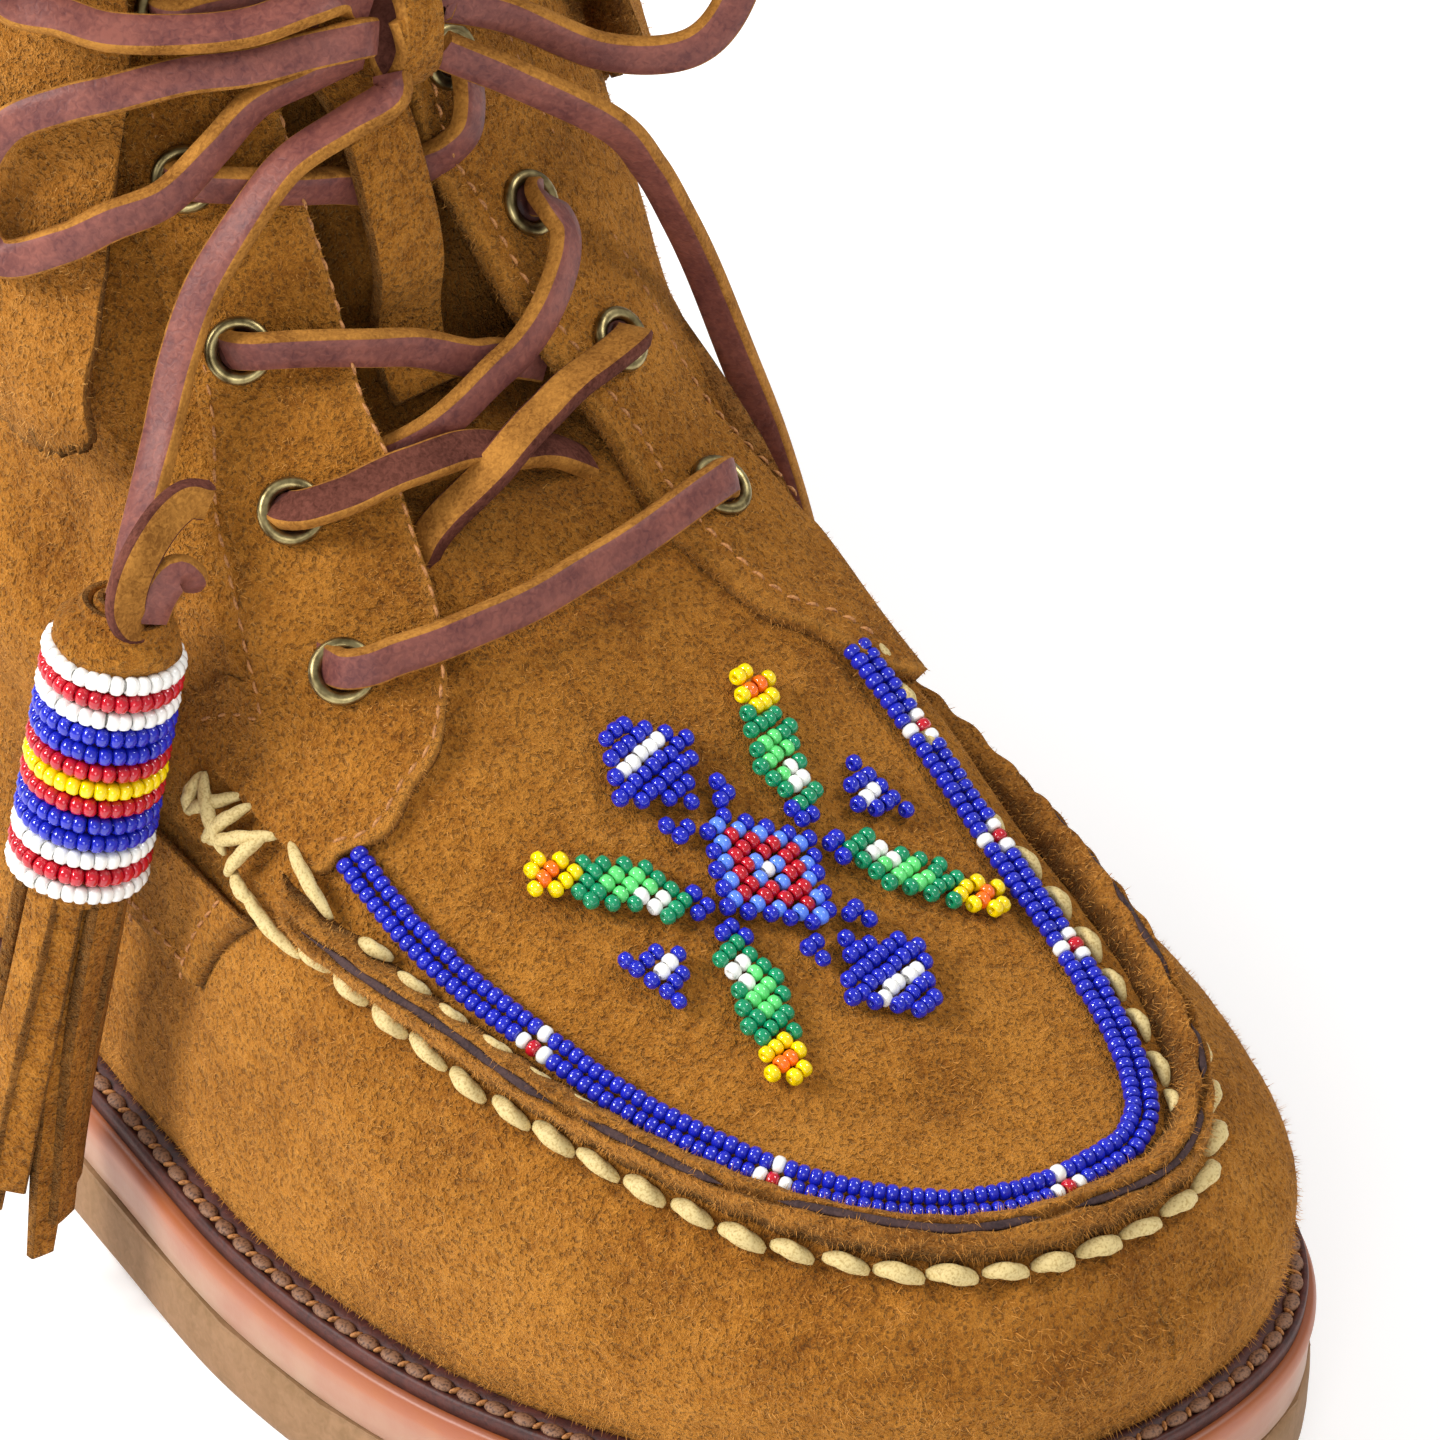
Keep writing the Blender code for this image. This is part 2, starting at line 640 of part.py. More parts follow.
def make_midsole():
    low = OUTSOLE_THICKNESS + GAP
    high = low + MIDSOLE_THICKNESS
    profile = [
        (EDGE_ROUND * 0.7, lambda y: sole_height(y, low)),
        (EDGE_ROUND * 0.5, lambda y: sole_height(y, high - 3.2 * EDGE_ROUND)),
        (0.0, lambda y: sole_height(y, high - 1.8 * EDGE_ROUND)),
        (EDGE_ROUND * 0.2, lambda y: sole_height(y, high - 0.5 * EDGE_ROUND)),
        (EDGE_ROUND, lambda y: sole_height(y, high)),
    ]
    return sole_slab("midsole", profile, "midsole", PARTS)


def make_welt():
    low, high = SOLE_TOP - WELT_THICKNESS, SOLE_TOP
    rounding = WELT_THICKNESS * 0.25
    inner = WELT_SETBACK + WELT_STRIP
    loops = [
        sole_loop(WELT_SETBACK, lambda y: sole_height(y, low)),
        sole_loop(WELT_SETBACK, lambda y: sole_height(y, high - rounding)),
        sole_loop(WELT_SETBACK + rounding, lambda y: sole_height(y, high)),
        sole_loop(inner, lambda y: sole_height(y, high)),
        sole_loop(inner, lambda y: sole_height(y, low)),
    ]
    return loop_solid("welt", loops, "welt", PARTS, capped=False)


def make_insole():
    inset = FEATHER_INSET + WALL + 6 * GAP
    profile = [
        (inset, lambda y: sole_height(y, SOLE_TOP + GAP)),
        (inset, lambda y: sole_height(y, SOLE_TOP + GAP + INSOLE_THICKNESS)),
    ]
    return sole_slab("insole", profile, "insole", PARTS)


# Upper


COLUMNS = 40
LOW_LEVELS = [0.0, 0.5, 1.0, 1.5, 2.0, 2.5, 3.0, 3.5, 4.1, 4.7, 5.3, 5.9, 6.3, THROAT_LEVEL]
HIGH_LEVELS = [6.75, 7.00, 7.40, 7.90, 8.40, 9.00, 9.60, 10.3, 11.1, 12.0]


def upper_row(level, lift):
    """Points round the upper from the throat's lateral edge to its medial one."""
    lateral = table_value(THROAT, level, 1)
    medial = table_value(THROAT, level, 2)
    counts = np.linspace(lateral, 4 - medial, COLUMNS + 1)
    return [skin(level, on_turn(c), lift) for c in counts]


def make_upper():
    """The hollow suede body: closed rings up to the throat, open ones above it."""
    levels = LOW_LEVELS + HIGH_LEVELS
    verts, rows = [], []
    for lift in (0.0, -WALL):
        side = []
        for level in levels:
            row = upper_row(level, lift)
            if level <= THROAT_LEVEL:
                ids = list(range(len(verts), len(verts) + COLUMNS))
                verts.extend(row[:-1])
                ids.append(ids[0])
            else:
                ids = list(range(len(verts), len(verts) + COLUMNS + 1))
                verts.extend(row)
            side.append(ids)
        rows.append(side)
    outer, inner = rows
    faces = []
    for i in range(len(levels) - 1):
        for j in range(COLUMNS):
            quad = (outer[i][j], outer[i][j + 1], outer[i + 1][j + 1], outer[i + 1][j])
            back = (inner[i][j], inner[i + 1][j], inner[i + 1][j + 1], inner[i][j + 1])
            faces.extend([quad, back])
    for j in range(COLUMNS):
        faces.append((outer[0][j + 1], outer[0][j], inner[0][j], inner[0][j + 1]))
        faces.append((outer[-1][j], outer[-1][j + 1], inner[-1][j + 1], inner[-1][j]))
    first = len(LOW_LEVELS) - 1
    for i in range(first, len(levels) - 1):
        for j in (0, COLUMNS):
            faces.append((outer[i][j], outer[i + 1][j], inner[i + 1][j], inner[i][j]))
    return add_mesh("upper", verts, faces, "suede", PARTS)


def level_step(level, turn, distance):
    """How far the level changes over a distance up the skin."""
    step = 0.05
    run = np.linalg.norm(bare_skin(level + step, turn) - bare_skin(level - step, turn))
    return distance * 2 * step / run


def make_seam_ridge():
    across = np.array([-1, -0.7, 0, 0.7, 1])
    outer, inner = [], []
    for turn in np.linspace(*SEAM_ENDS, 45):
        ends = min(turn - SEAM_ENDS[0], SEAM_ENDS[1] - turn)
        fade = 0.35 + 0.65 * min(1.0, ends / 0.06)
        half = level_step(SEAM_LEVEL, turn, SEAM_WIDTH / 2)
        top, base = [], []
        for s in across:
            level = SEAM_LEVEL + s * half
            crown = SEAM_HEIGHT * fade * (0.18 + 0.82 * math.sqrt(max(0.0, 1 - s * s)))
            top.append(skin(level, turn, LAY + crown))
            base.append(skin(level, turn, LAY))
        outer.append(top)
        inner.append(base)
    return grid_solid("seam_ridge", outer, inner, "suede", PARTS)


def strip_rows(table, cols):
    """Level and turn of each grid point of an overlay between its front and rear edges."""
    shares = np.linspace(0, 1, cols)
    return [[(a + (c - a) * s, b + (d - b) * s, s) for s in shares] for a, b, c, d in table]


def make_overlay(name, table, thickness, lay, rear_share, cols, rows):
    table = np.array(table)
    at = np.linspace(0, len(table) - 1, rows)
    dense = np.column_stack([np.interp(at, range(len(table)), table[:, k]) for k in range(4)])
    outer, inner = [], []
    for row in strip_rows(dense, cols):
        top = []
        for level, turn, share in row:
            part = 1 - (1 - rear_share) * max(0.0, (share - 0.75) / 0.25)
            top.append(skin(level, turn, lay + thickness * part))
        outer.append(top)
        inner.append([skin(level, turn, lay) for level, turn, share in row])
    return grid_solid(name, outer, inner, "suede", PARTS)


def make_backstay():
    outer, inner = [], []
    for level in np.linspace(1.0, 3.5, 11):
        reach = BACKSTAY_WIDTH / 2
        side = np.linalg.norm(bare_skin(level, 1.9) - bare_skin(level, -1.9)) / 2
        turns = [on_turn(2 + s * 0.1 * reach / side) for s in (-1, -0.5, 0, 0.5, 1)]
        outer.append([skin(level, t, LAY + BACKSTAY_THICKNESS) for t in turns])
        inner.append([skin(level, t, LAY) for t in turns])
    return grid_solid("backstay", outer, inner, "suede", PARTS)


TONGUE_LEVELS = [6.2, 6.6, 7.0, 7.5, 8.1, 8.7, 9.4, 10.2, 11.0, 11.9]
TONGUE_FORM = [
    # level, half width in turns, how far the middle sinks as a share
    (6.2, 0.36, 0.00), (6.6, 0.38, 0.20), (7.0, 0.42, 0.65), (7.5, 0.46, 1.00),
    (8.4, 0.48, 1.00), (9.2, 0.46, 0.40), (10.0, 0.42, 0.12), (11.0, 0.36, 0.20),
    (12.0, 0.29, 0.30)]


def tongue_lift(level, share):
    """Lift of the tongue's outer face: it lies under the wall and sinks in the middle."""
    sink = table_value(TONGUE_FORM, level, 2)
    return -(WALL + 2 * GAP) - TONGUE_SINK * sink * (1 - share * share)


def tongue_point(level, share, lift=0.0):
    turn = share * table_value(TONGUE_FORM, level, 1) - 0.03
    return skin(level, turn, tongue_lift(level, share) + lift)


def make_tongue():
    shares = np.linspace(-1, 1, 11)
    outer = [[tongue_point(level, s) for s in shares] for level in TONGUE_LEVELS]
    inner = [[tongue_point(level, s, -TONGUE_THICKNESS) for s in shares] for level in TONGUE_LEVELS]
    return grid_solid("tongue", outer, inner, "suede", PARTS)


def unit(vector):
    return vector / np.linalg.norm(vector)


KEEPER_ARCH = [
    # level, height above the tongue as a share of the room for the lace
    (8.20, 0.00), (8.45, 0.02), (8.70, 0.30), (8.95, 0.85), (9.30, 1.00), (9.70, 1.00),
    (9.95, 0.80), (10.15, 0.30)]


def make_tongue_keeper():
    """A strap loop sewn to the tongue at its ends, with room for the lace behind its front."""
    across = np.array([1.0, 0.0, 0.0])
    half = KEEPER_WIDTH / 2
    outer, inner = [], []
    for level, height in KEEPER_ARCH:
        base = 2 * LAY + KEEPER_ROOM * height
        back = tongue_point(level, KEEPER_SHIFT, base)
        front = tongue_point(level, KEEPER_SHIFT, base + KEEPER_THICKNESS)
        outer.append([front + across * half * s for s in (-1, -0.4, 0.4, 1)])
        inner.append([back + across * half * s for s in (-1, -0.4, 0.4, 1)])
    return grid_solid("tongue_keeper", outer, inner, "suede", PARTS)


# Cuff


def cuff_point(count_on, height, lift):
    turn = on_turn(count_on)
    collar = bare_skin(TOP_LEVEL, turn)[2]
    if height <= collar:
        return skin(level_at(turn, height), turn, lift)
    point = skin(TOP_LEVEL, turn, lift)
    point[2] = height
    return point


def make_cuff():
    """The collar turned down outside: a folded band that hooks over the collar's edge."""
    steps = 30
    shares = (0.0, 0.15, 0.35, 0.6, 0.85, 1.0)
    collar_top = SOLE_TOP + 2.0 * INSTEP_RISE
    loops = []
    for k in range(steps + 1):
        outer, inner = [], []
        for share in shares:
            base = k / steps
            guess = 0.6 + 2.8 * base
            hem = collar_top * table_value(CUFF_HEM, guess, 1)
            height = hem + (collar_top * 0.995 - hem) * share
            low = table_value(CUFF_FRONT, height / collar_top, 1)
            high = 4 - table_value(CUFF_FRONT, height / collar_top, 2)
            count = low + (high - low) * base
            flare = CUFF_SEAT + CUFF_FLARE * (1 - share) ** 0.8
            if share == 1.0:
                rim = bare_skin(TOP_LEVEL, on_turn(count))[2]
                height = rim - 2 * GAP
            outer.append(cuff_point(count, height, flare + CUFF_THICKNESS))
            inner.append(cuff_point(count, height, flare))
        top = bare_skin(TOP_LEVEL, on_turn(count))[2]
        t = CUFF_THICKNESS
        outside = [(top + 2 * GAP + 0.75 * t, CUFF_SEAT + 0.75 * t), (top + 2 * GAP + t, -WALL / 2),
                   (top + 2 * GAP + 0.75 * t, -WALL - 2 * GAP - 0.75 * t),
                   (top - 2 * GAP, -WALL - 2 * GAP - t), (top - CUFF_TURN_IN, -WALL - 2 * GAP - t)]
        inside = [(top - CUFF_TURN_IN, -WALL - 2 * GAP), (top - 2 * GAP, -WALL - 2 * GAP),
                  (top + 2 * GAP, -WALL - 2 * GAP), (top + 2 * GAP, CUFF_SEAT)]
        fold = [cuff_point(count, h, lift) for h, lift in outside + inside]
        loops.append(outer + fold + inner[::-1])
    return loop_solid("cuff", loops, "cuff_suede", PARTS)


# Eyelets


def facing_lift():
    return LAY + FACING_THICKNESS


def eyelet_frame(side, number):
    level, turn = EYELETS[side][number]
    centre = skin(level, turn, facing_lift() + LAY)
    out = skin_normal(level, turn)
    return Vector(centre), Vector(out)


def turned(name, profile, steps, slot, place):
    """A closed profile of (radius, height) turned about Z."""
    mesh = bpy.data.meshes.new(name)
    verts = [(r, 0.0, h) for r, h in profile]
    edges = [(k, (k + 1) % len(verts)) for k in range(len(verts))]
    mesh.from_pydata(verts, edges, [])
    obj = bpy.data.objects.new(name, mesh)
    obj.data.materials.append(MATERIALS[slot])
    place.objects.link(obj)
    screw = obj.modifiers.new("turn", "SCREW")
    screw.angle = math.tau
    screw.steps = steps
    screw.render_steps = steps
    screw.use_merge_vertices = True
    screw.merge_threshold = 0.00001
    screw.use_normal_calculate = True
    return obj


def make_eyelet(side, number):
    bore, rim = EYELET_BORE / 2, EYELET_DIAMETER / 2
    neck = bore + EYELET_METAL
    drop = -(FACING_THICKNESS + 2 * LAY + WALL * 0.8)
    profile = [(rim, 0.0), (rim - EYELET_METAL, EYELET_HEIGHT * 0.8),
               (bore + EYELET_METAL, EYELET_HEIGHT), (bore, EYELET_HEIGHT * 0.4), (bore, drop),
               (neck, drop), (neck, 0.0)]
    eyelet = turned(f"eyelet_{side}_{number + 1}", profile[::-1], 8, "brass", PARTS)
    centre, out = eyelet_frame(side, number)
    eyelet.matrix_world = Matrix.Translation(centre) @ out.to_track_quat("Z", "Y").to_matrix().to_4x4()
    mesh = evaluated_mesh(eyelet)
    work = bmesh.new()
    work.from_mesh(mesh)
    bmesh.ops.remove_doubles(work, verts=work.verts, dist=0.00001)
    bmesh.ops.recalc_face_normals(work, faces=work.faces)
    work.to_mesh(mesh)
    work.free()
    eyelet.modifiers.clear()
    eyelet.data = mesh
    mesh.shade_smooth()
    mesh.set_sharp_from_angle(angle=math.radians(50))
    return eyelet


def make_hole_cutter(side, number):
    centre, out = eyelet_frame(side, number)
    radius = EYELET_BORE / 2 + EYELET_METAL + GAP
    bpy.ops.mesh.primitive_cylinder_add(vertices=16, radius=radius, depth=0.012)
    cutter = bpy.context.active_object
    cutter.name = f"hole_cutter_{side}_{number + 1}"
    cutter.matrix_world = Matrix.Translation(centre - out * 0.001) @ out.to_track_quat("Z", "Y").to_matrix().to_4x4()
    for old in cutter.users_collection:
        old.objects.unlink(cutter)
    CUTTERS.objects.link(cutter)
    as_cutter(cutter)
    return cutter


# Lace


def tube(name, points, diameter, slot, place):
    """A curve with a round section and filled caps."""
    data = bpy.data.curves.new(name, "CURVE")
    data.dimensions = "3D"
    data.bevel_depth = diameter / 2
    data.bevel_resolution = 2
    data.use_fill_caps = True
    spline = data.splines.new("POLY")
    spline.points.add(len(points) - 1)
    for slot_point, p in zip(spline.points, points):
        slot_point.co = (*[float(c) for c in p], 1.0)
    obj = bpy.data.objects.new(name, data)
    obj.data.materials.append(MATERIALS[slot])
    place.objects.link(obj)
    return obj


def tube_mesh(name, points, diameter, slot, place):
    """A round strand as a mesh with its caps welded on."""
    source = tube(name + "_curve", points, diameter, slot, place)
    mesh = evaluated_mesh(source)
    work = bmesh.new()
    work.from_mesh(mesh)
    bmesh.ops.remove_doubles(work, verts=work.verts, dist=0.00001)
    bmesh.ops.recalc_face_normals(work, faces=work.faces)
    work.to_mesh(mesh)
    work.free()
    obj = bpy.data.objects.new(name, mesh)
    place.objects.link(obj)
    obj.matrix_world = source.matrix_world
    bpy.data.objects.remove(source, do_unlink=True)
    return obj


def eyelet_lift():
    """Lift of a strand's centre where it lies on an eyelet."""
    return facing_lift() + LAY + EYELET_HEIGHT + LACE_DIAMETER / 2 + 2 * GAP


def strand(points):
    places = [skin(level, turn, eyelet_lift() * height) for level, turn, height in points]
    return smooth_route(places, LACE_DIAMETER * 2.2)


def keeper_strand():
    behind = tongue_point(KEEPER_CROSSING, KEEPER_SHIFT, LAY + KEEPER_ROOM * 0.5)
    reach = np.array([KEEPER_WIDTH * 0.44, 0.0, 0.0])
    before, after = [[skin(v, t, eyelet_lift() * h) for v, t, h in part] for part in KEEPER_BAR]
    return smooth_route(before + [behind - reach, behind + reach] + after, LACE_DIAMETER * 1.4)


def join(name, strands):
    """Strands that cross, made one solid."""
    pieces = [tube_mesh(f"{name}_{k}", s, LACE_DIAMETER, "lace", CUTTERS) for k, s in enumerate(strands)]
    first = pieces[0]
    for other in pieces[1:]:
        step = first.modifiers.new("join", "BOOLEAN")
        step.operation = "UNION"
        step.solver = "EXACT"
        step.object = other
    mesh = evaluated_mesh(first)
    mesh.materials.clear()
    mesh.materials.append(MATERIALS["lace"])
    obj = bpy.data.objects.new(name, mesh)
    PARTS.objects.link(obj)
    for piece in pieces:
        bpy.data.objects.remove(piece, do_unlink=True)
    return obj


def make_lace_bars(keeper):
    for name, strands in STRANDS.items():
        join(name, [strand(points) for points in strands])
    join("lace_bar_keeper", [keeper_strand()])
    room = tube_mesh("keeper_cutter", keeper_strand(), LACE_DIAMETER + 2 * LAY, "lace", CUTTERS)
    as_cutter(room)
    cut(keeper, room)


def knot_surface(towards):
    """Just outside the knot on the way to a point."""
    centre = np.array(KNOT_CENTRE) * MM
    radii = KNOT_SIZE / 2 * np.array(KNOT_FORM)
    way = np.array(towards) - centre
    return centre + way / np.linalg.norm(way / radii) + unit(way) * 2.5 * GAP


def make_cords():
    for name, points in ROUTES.items():
        route = list(np.array(points) * MM)
        route = [knot_surface(route[0])] + route
        if name in TASSEL_CORDS:
            top, direction = TASSELS[TASSEL_CORDS[name]]
            route.append(np.array(top) * MM - unit(np.array(direction, float)) * 4 * GAP)
        else:
            route.append(knot_surface(route[-1]))
        tube(name, smooth_route(route, LACE_DIAMETER * 2.4), LACE_DIAMETER, "lace", PARTS)
    bpy.ops.mesh.primitive_uv_sphere_add(segments=12, ring_count=8, radius=KNOT_SIZE / 2)
    knot = bpy.context.active_object
    knot.name = "lace_knot"
    knot.location = np.array(KNOT_CENTRE) * MM
    knot.scale = KNOT_FORM
    knot.data.materials.append(MATERIALS["lace"])
    for old in knot.users_collection:
        old.objects.unlink(knot)
    PARTS.objects.link(knot)


# Tassels


def tassel_axes(direction):
    down = unit(np.array(direction, float))
    side = unit(np.cross(down, (0.0, 1.0, 0.2) if abs(down[1]) < 0.8 else (0.0, 0.0, 1.0)))
    return down, side, np.cross(down, side)


def make_tassel(where):
    """Rolled suede with its strips fused on, through a tube of beads."""
    top, direction = TASSELS[where]
    top = np.array(top) * MM
    down, side, front = tassel_axes(direction)
    core = WRAP_DIAMETER / 2 - WRAP_BEAD - GAP
    ring = np.linspace(0, math.tau, 12, endpoint=False)

    def circle(depth, radius):
        middle = top + down * depth
        return [middle + side * radius * math.cos(a) + front * radius * math.sin(a) for a in ring]

    wrap_start = TASSEL_TOP
    wrap_end = TASSEL_TOP + WRAP_LENGTH
    body_loops = [circle(0.0, core * 0.55), circle(TASSEL_TOP * 0.35, core), circle(wrap_end, core),
                  circle(wrap_end + 0.012, core * 0.95)]
    body = loop_solid(f"tassel_{where}", body_loops, "suede", PARTS)
    for k in range(FRINGE_STRIPS):
        angle = math.tau * (k + 0.5) / FRINGE_STRIPS
        out = side * math.cos(angle) + front * math.sin(angle)
        along = np.cross(down, out)
        half = core * math.tan(math.pi / FRINGE_STRIPS) * 0.92
        length = FRINGE_LENGTH * (0.93 + 0.07 * math.cos(2.3 * k))
        loops = []
        for share, reach, narrow in ((0.0, 0.62, 1.0), (0.2, 0.70, 1.0), (0.6, 0.86, 0.92),
                                     (1.0, 0.80, 0.72)):
            middle = top + down * (wrap_end + 0.001 + (length - 0.001) * share) + out * core * reach
            w, t = along * half * narrow, out * FRINGE_THICKNESS / 2
            loops.append([middle - w - t, middle + w - t, middle + w + t, middle - w + t])
        strip = loop_solid(f"strip_{where}_{k + 1}", loops, "suede", CUTTERS)
        as_cutter(strip)
        step = body.modifiers.new("fuse", "BOOLEAN")
        step.operation = "UNION"
        step.solver = "EXACT"
        step.object = strip
    inner = core + GAP
    outer = WRAP_DIAMETER / 2
    loops = [circle(wrap_start, outer - WRAP_BEAD * 0.2), circle(wrap_start + WRAP_BEAD / 2, outer),
             circle(wrap_end - WRAP_BEAD / 2, outer), circle(wrap_end, outer - WRAP_BEAD * 0.2),
             circle(wrap_end, inner), circle(wrap_start, inner)]
    loop_solid(f"bead_wrap_{where}", loops, "beads", PARTS, capped=False)


# Whole boot


clear_scene()
PARTS = collection("mukluk_boot")
CUTTERS = collection("cutters")
MATERIALS = {name: material(name) for name in COLOURS}
FEATHER_INSET = WELT_SETBACK + WELT_SHOWING
FEATHER = Outline(FEATHER_INSET)
BULGED = Outline(FEATHER_INSET - BULGE)
SHOULDER = Outline(SHOULDER_INSET)


def main():
    make_outsole()
    make_midsole()
    make_welt()
    make_insole()
    upper = make_upper()
    make_seam_ridge()
    facings = {side: make_overlay(f"facing_{side}", FACING[side], FACING_THICKNESS, LAY, 0.35, 7, 30)
               for side in FACING}
    for side in PATCH:
        make_overlay(f"patch_{side}", PATCH[side], PATCH_THICKNESS, PATCH_LAY, 1.0, 7, 6)
    make_backstay()
    make_tongue()
    keeper = make_tongue_keeper()
    make_cuff()
    for side in EYELETS:
        for number in range(len(EYELETS[side])):
            make_eyelet(side, number)
            hole = make_hole_cutter(side, number)
            cut(upper, hole)
            cut(facings[side], hole)
    make_lace_bars(keeper)
    make_cords()
    for where in TASSELS:
        make_tassel(where)


main()
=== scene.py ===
"""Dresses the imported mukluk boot: napped suede, seed beads, laces, tassels and sole, with a small studio.

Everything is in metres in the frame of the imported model: toe to -Y, wearer's right to -X, +Z up.
"""

import json
import math

import bmesh
import bpy
import numpy as np
from bpy.props import FloatProperty, FloatVectorProperty, IntProperty, PointerProperty
from mathutils import Matrix

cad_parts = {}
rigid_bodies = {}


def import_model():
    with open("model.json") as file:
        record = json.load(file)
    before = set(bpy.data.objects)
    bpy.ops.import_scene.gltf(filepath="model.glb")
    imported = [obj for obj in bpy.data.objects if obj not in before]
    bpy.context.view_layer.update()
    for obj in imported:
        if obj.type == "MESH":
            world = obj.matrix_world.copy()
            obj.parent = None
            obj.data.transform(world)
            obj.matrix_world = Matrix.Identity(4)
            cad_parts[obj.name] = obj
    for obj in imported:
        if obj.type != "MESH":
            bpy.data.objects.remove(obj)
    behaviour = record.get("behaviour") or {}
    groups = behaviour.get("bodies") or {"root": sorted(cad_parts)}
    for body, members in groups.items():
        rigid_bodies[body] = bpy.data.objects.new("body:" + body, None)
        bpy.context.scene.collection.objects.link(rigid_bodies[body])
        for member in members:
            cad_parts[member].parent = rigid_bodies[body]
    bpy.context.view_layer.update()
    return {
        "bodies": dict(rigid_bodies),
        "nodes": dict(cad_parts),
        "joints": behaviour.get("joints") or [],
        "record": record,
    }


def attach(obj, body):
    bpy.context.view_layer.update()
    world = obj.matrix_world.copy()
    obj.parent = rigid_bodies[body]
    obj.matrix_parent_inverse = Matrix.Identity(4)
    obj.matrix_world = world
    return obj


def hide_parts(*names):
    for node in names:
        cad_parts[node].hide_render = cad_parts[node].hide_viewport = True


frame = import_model()

bl_info = {
    "name": "Mukluk boot dressing",
    "version": (1, 0, 0),
    "blender": (4, 5, 0),
    "location": "View3D > Sidebar > Mukluk",
    "description": "Builds the suede, beads, laces, tassels, sole and studio of a mukluk boot",
    "category": "Add Mesh",
}

MM = 0.001

# Form of the upper, as shares of the sole's length, the ball width and the instep rise

SOLE_LENGTH = 0.298
BALL_WIDTH = 0.1115
OUTSOLE_TOP = 0.0105
MIDSOLE_TOP = 0.0193
SOLE_TOP = 0.0216
HEEL_RISE = 0.003
TOE_SPRING = 0.0045
SPRING_START = 0.62
INSTEP_RISE = 0.084
WALL = 0.0020
LAY = 0.0006
FACING_TOP = 0.0020
FEATHER_INSET = 0.0044

OUTLINE = [
    # station, lateral, medial
    (0.012, 0.130, 0.161), (0.050, 0.262, 0.272), (0.120, 0.333, 0.338), (0.220, 0.353, 0.350),
    (0.330, 0.358, 0.335), (0.451, 0.389, 0.339), (0.573, 0.450, 0.398), (0.675, 0.496, 0.467),
    (0.776, 0.486, 0.501), (0.868, 0.410, 0.487), (0.939, 0.287, 0.417), (0.985, 0.114, 0.279),
]
HEEL_TIP = 0.010
TOE_TIP = 0.080
SHOULDER_INSET = 0.0063
SHOULDER_RISE = {"front": 0.243, "lateral": 0.386, "medial": 0.398, "back": 0.481}
OUTLINE_WIDEST = {"lateral": 0.668, "medial": 0.708}
OUTLINE_ROUND = {"lateral": 2.6, "medial": 2.2, "back": 2.6}
RINGS = [
    # front x, station, rise | lateral half, station, rise | medial half, station, rise
    # | back x, station, rise | rounds lateral, medial, back
    ((0.117, 0.951, 0.350), (0.399, 0.668, 0.535), (0.322, 0.708, 0.564),
     (0.027, 0.050, 0.790), (2.75, 1.95, 2.6)),
    ((0.090, 0.876, 0.439), (0.341, 0.628, 0.683), (0.314, 0.661, 0.690),
     (0.036, 0.064, 1.029), (2.5, 2.2, 2.5)),
    ((0.063, 0.789, 0.564), (0.323, 0.567, 0.850), (0.330, 0.594, 0.862),
     (0.036, 0.074, 1.195), (2.4, 2.3, 2.5)),
    ((0.036, 0.708, 0.719), (0.323, 0.500, 1.005), (0.358, 0.517, 0.996),
     (0.036, 0.087, 1.338), (2.4, 2.4, 2.4)),
    ((0.018, 0.638, 0.862), (0.332, 0.450, 1.124), (0.386, 0.460, 1.106),
     (0.036, 0.097, 1.481), (2.3, 2.5, 2.4)),
    ((0.018, 0.591, 1.029), (0.341, 0.406, 1.243), (0.424, 0.412, 1.243),
     (0.036, 0.104, 1.600), (2.2, 2.5, 2.4)),
    ((0.018, 0.547, 1.207), (0.350, 0.372, 1.386), (0.442, 0.385, 1.386),
     (0.036, 0.109, 1.683), (2.2, 2.5, 2.3)),
    ((0.018, 0.513, 1.410), (0.354, 0.346, 1.552), (0.446, 0.360, 1.552),
     (0.036, 0.112, 1.767), (2.2, 2.4, 2.3)),
    ((0.018, 0.487, 1.648), (0.359, 0.319, 1.743), (0.442, 0.330, 1.743),
     (0.036, 0.114, 1.886), (2.2, 2.3, 2.2)),
    ((0.018, 0.470, 1.957), (0.368, 0.299, 1.981), (0.428, 0.299, 1.981),
     (0.036, 0.111, 2.005), (2.2, 2.2, 2.2)),
]
TOP_LEVEL = 2 + len(RINGS)

# Places on the upper: level, then turn round the boot

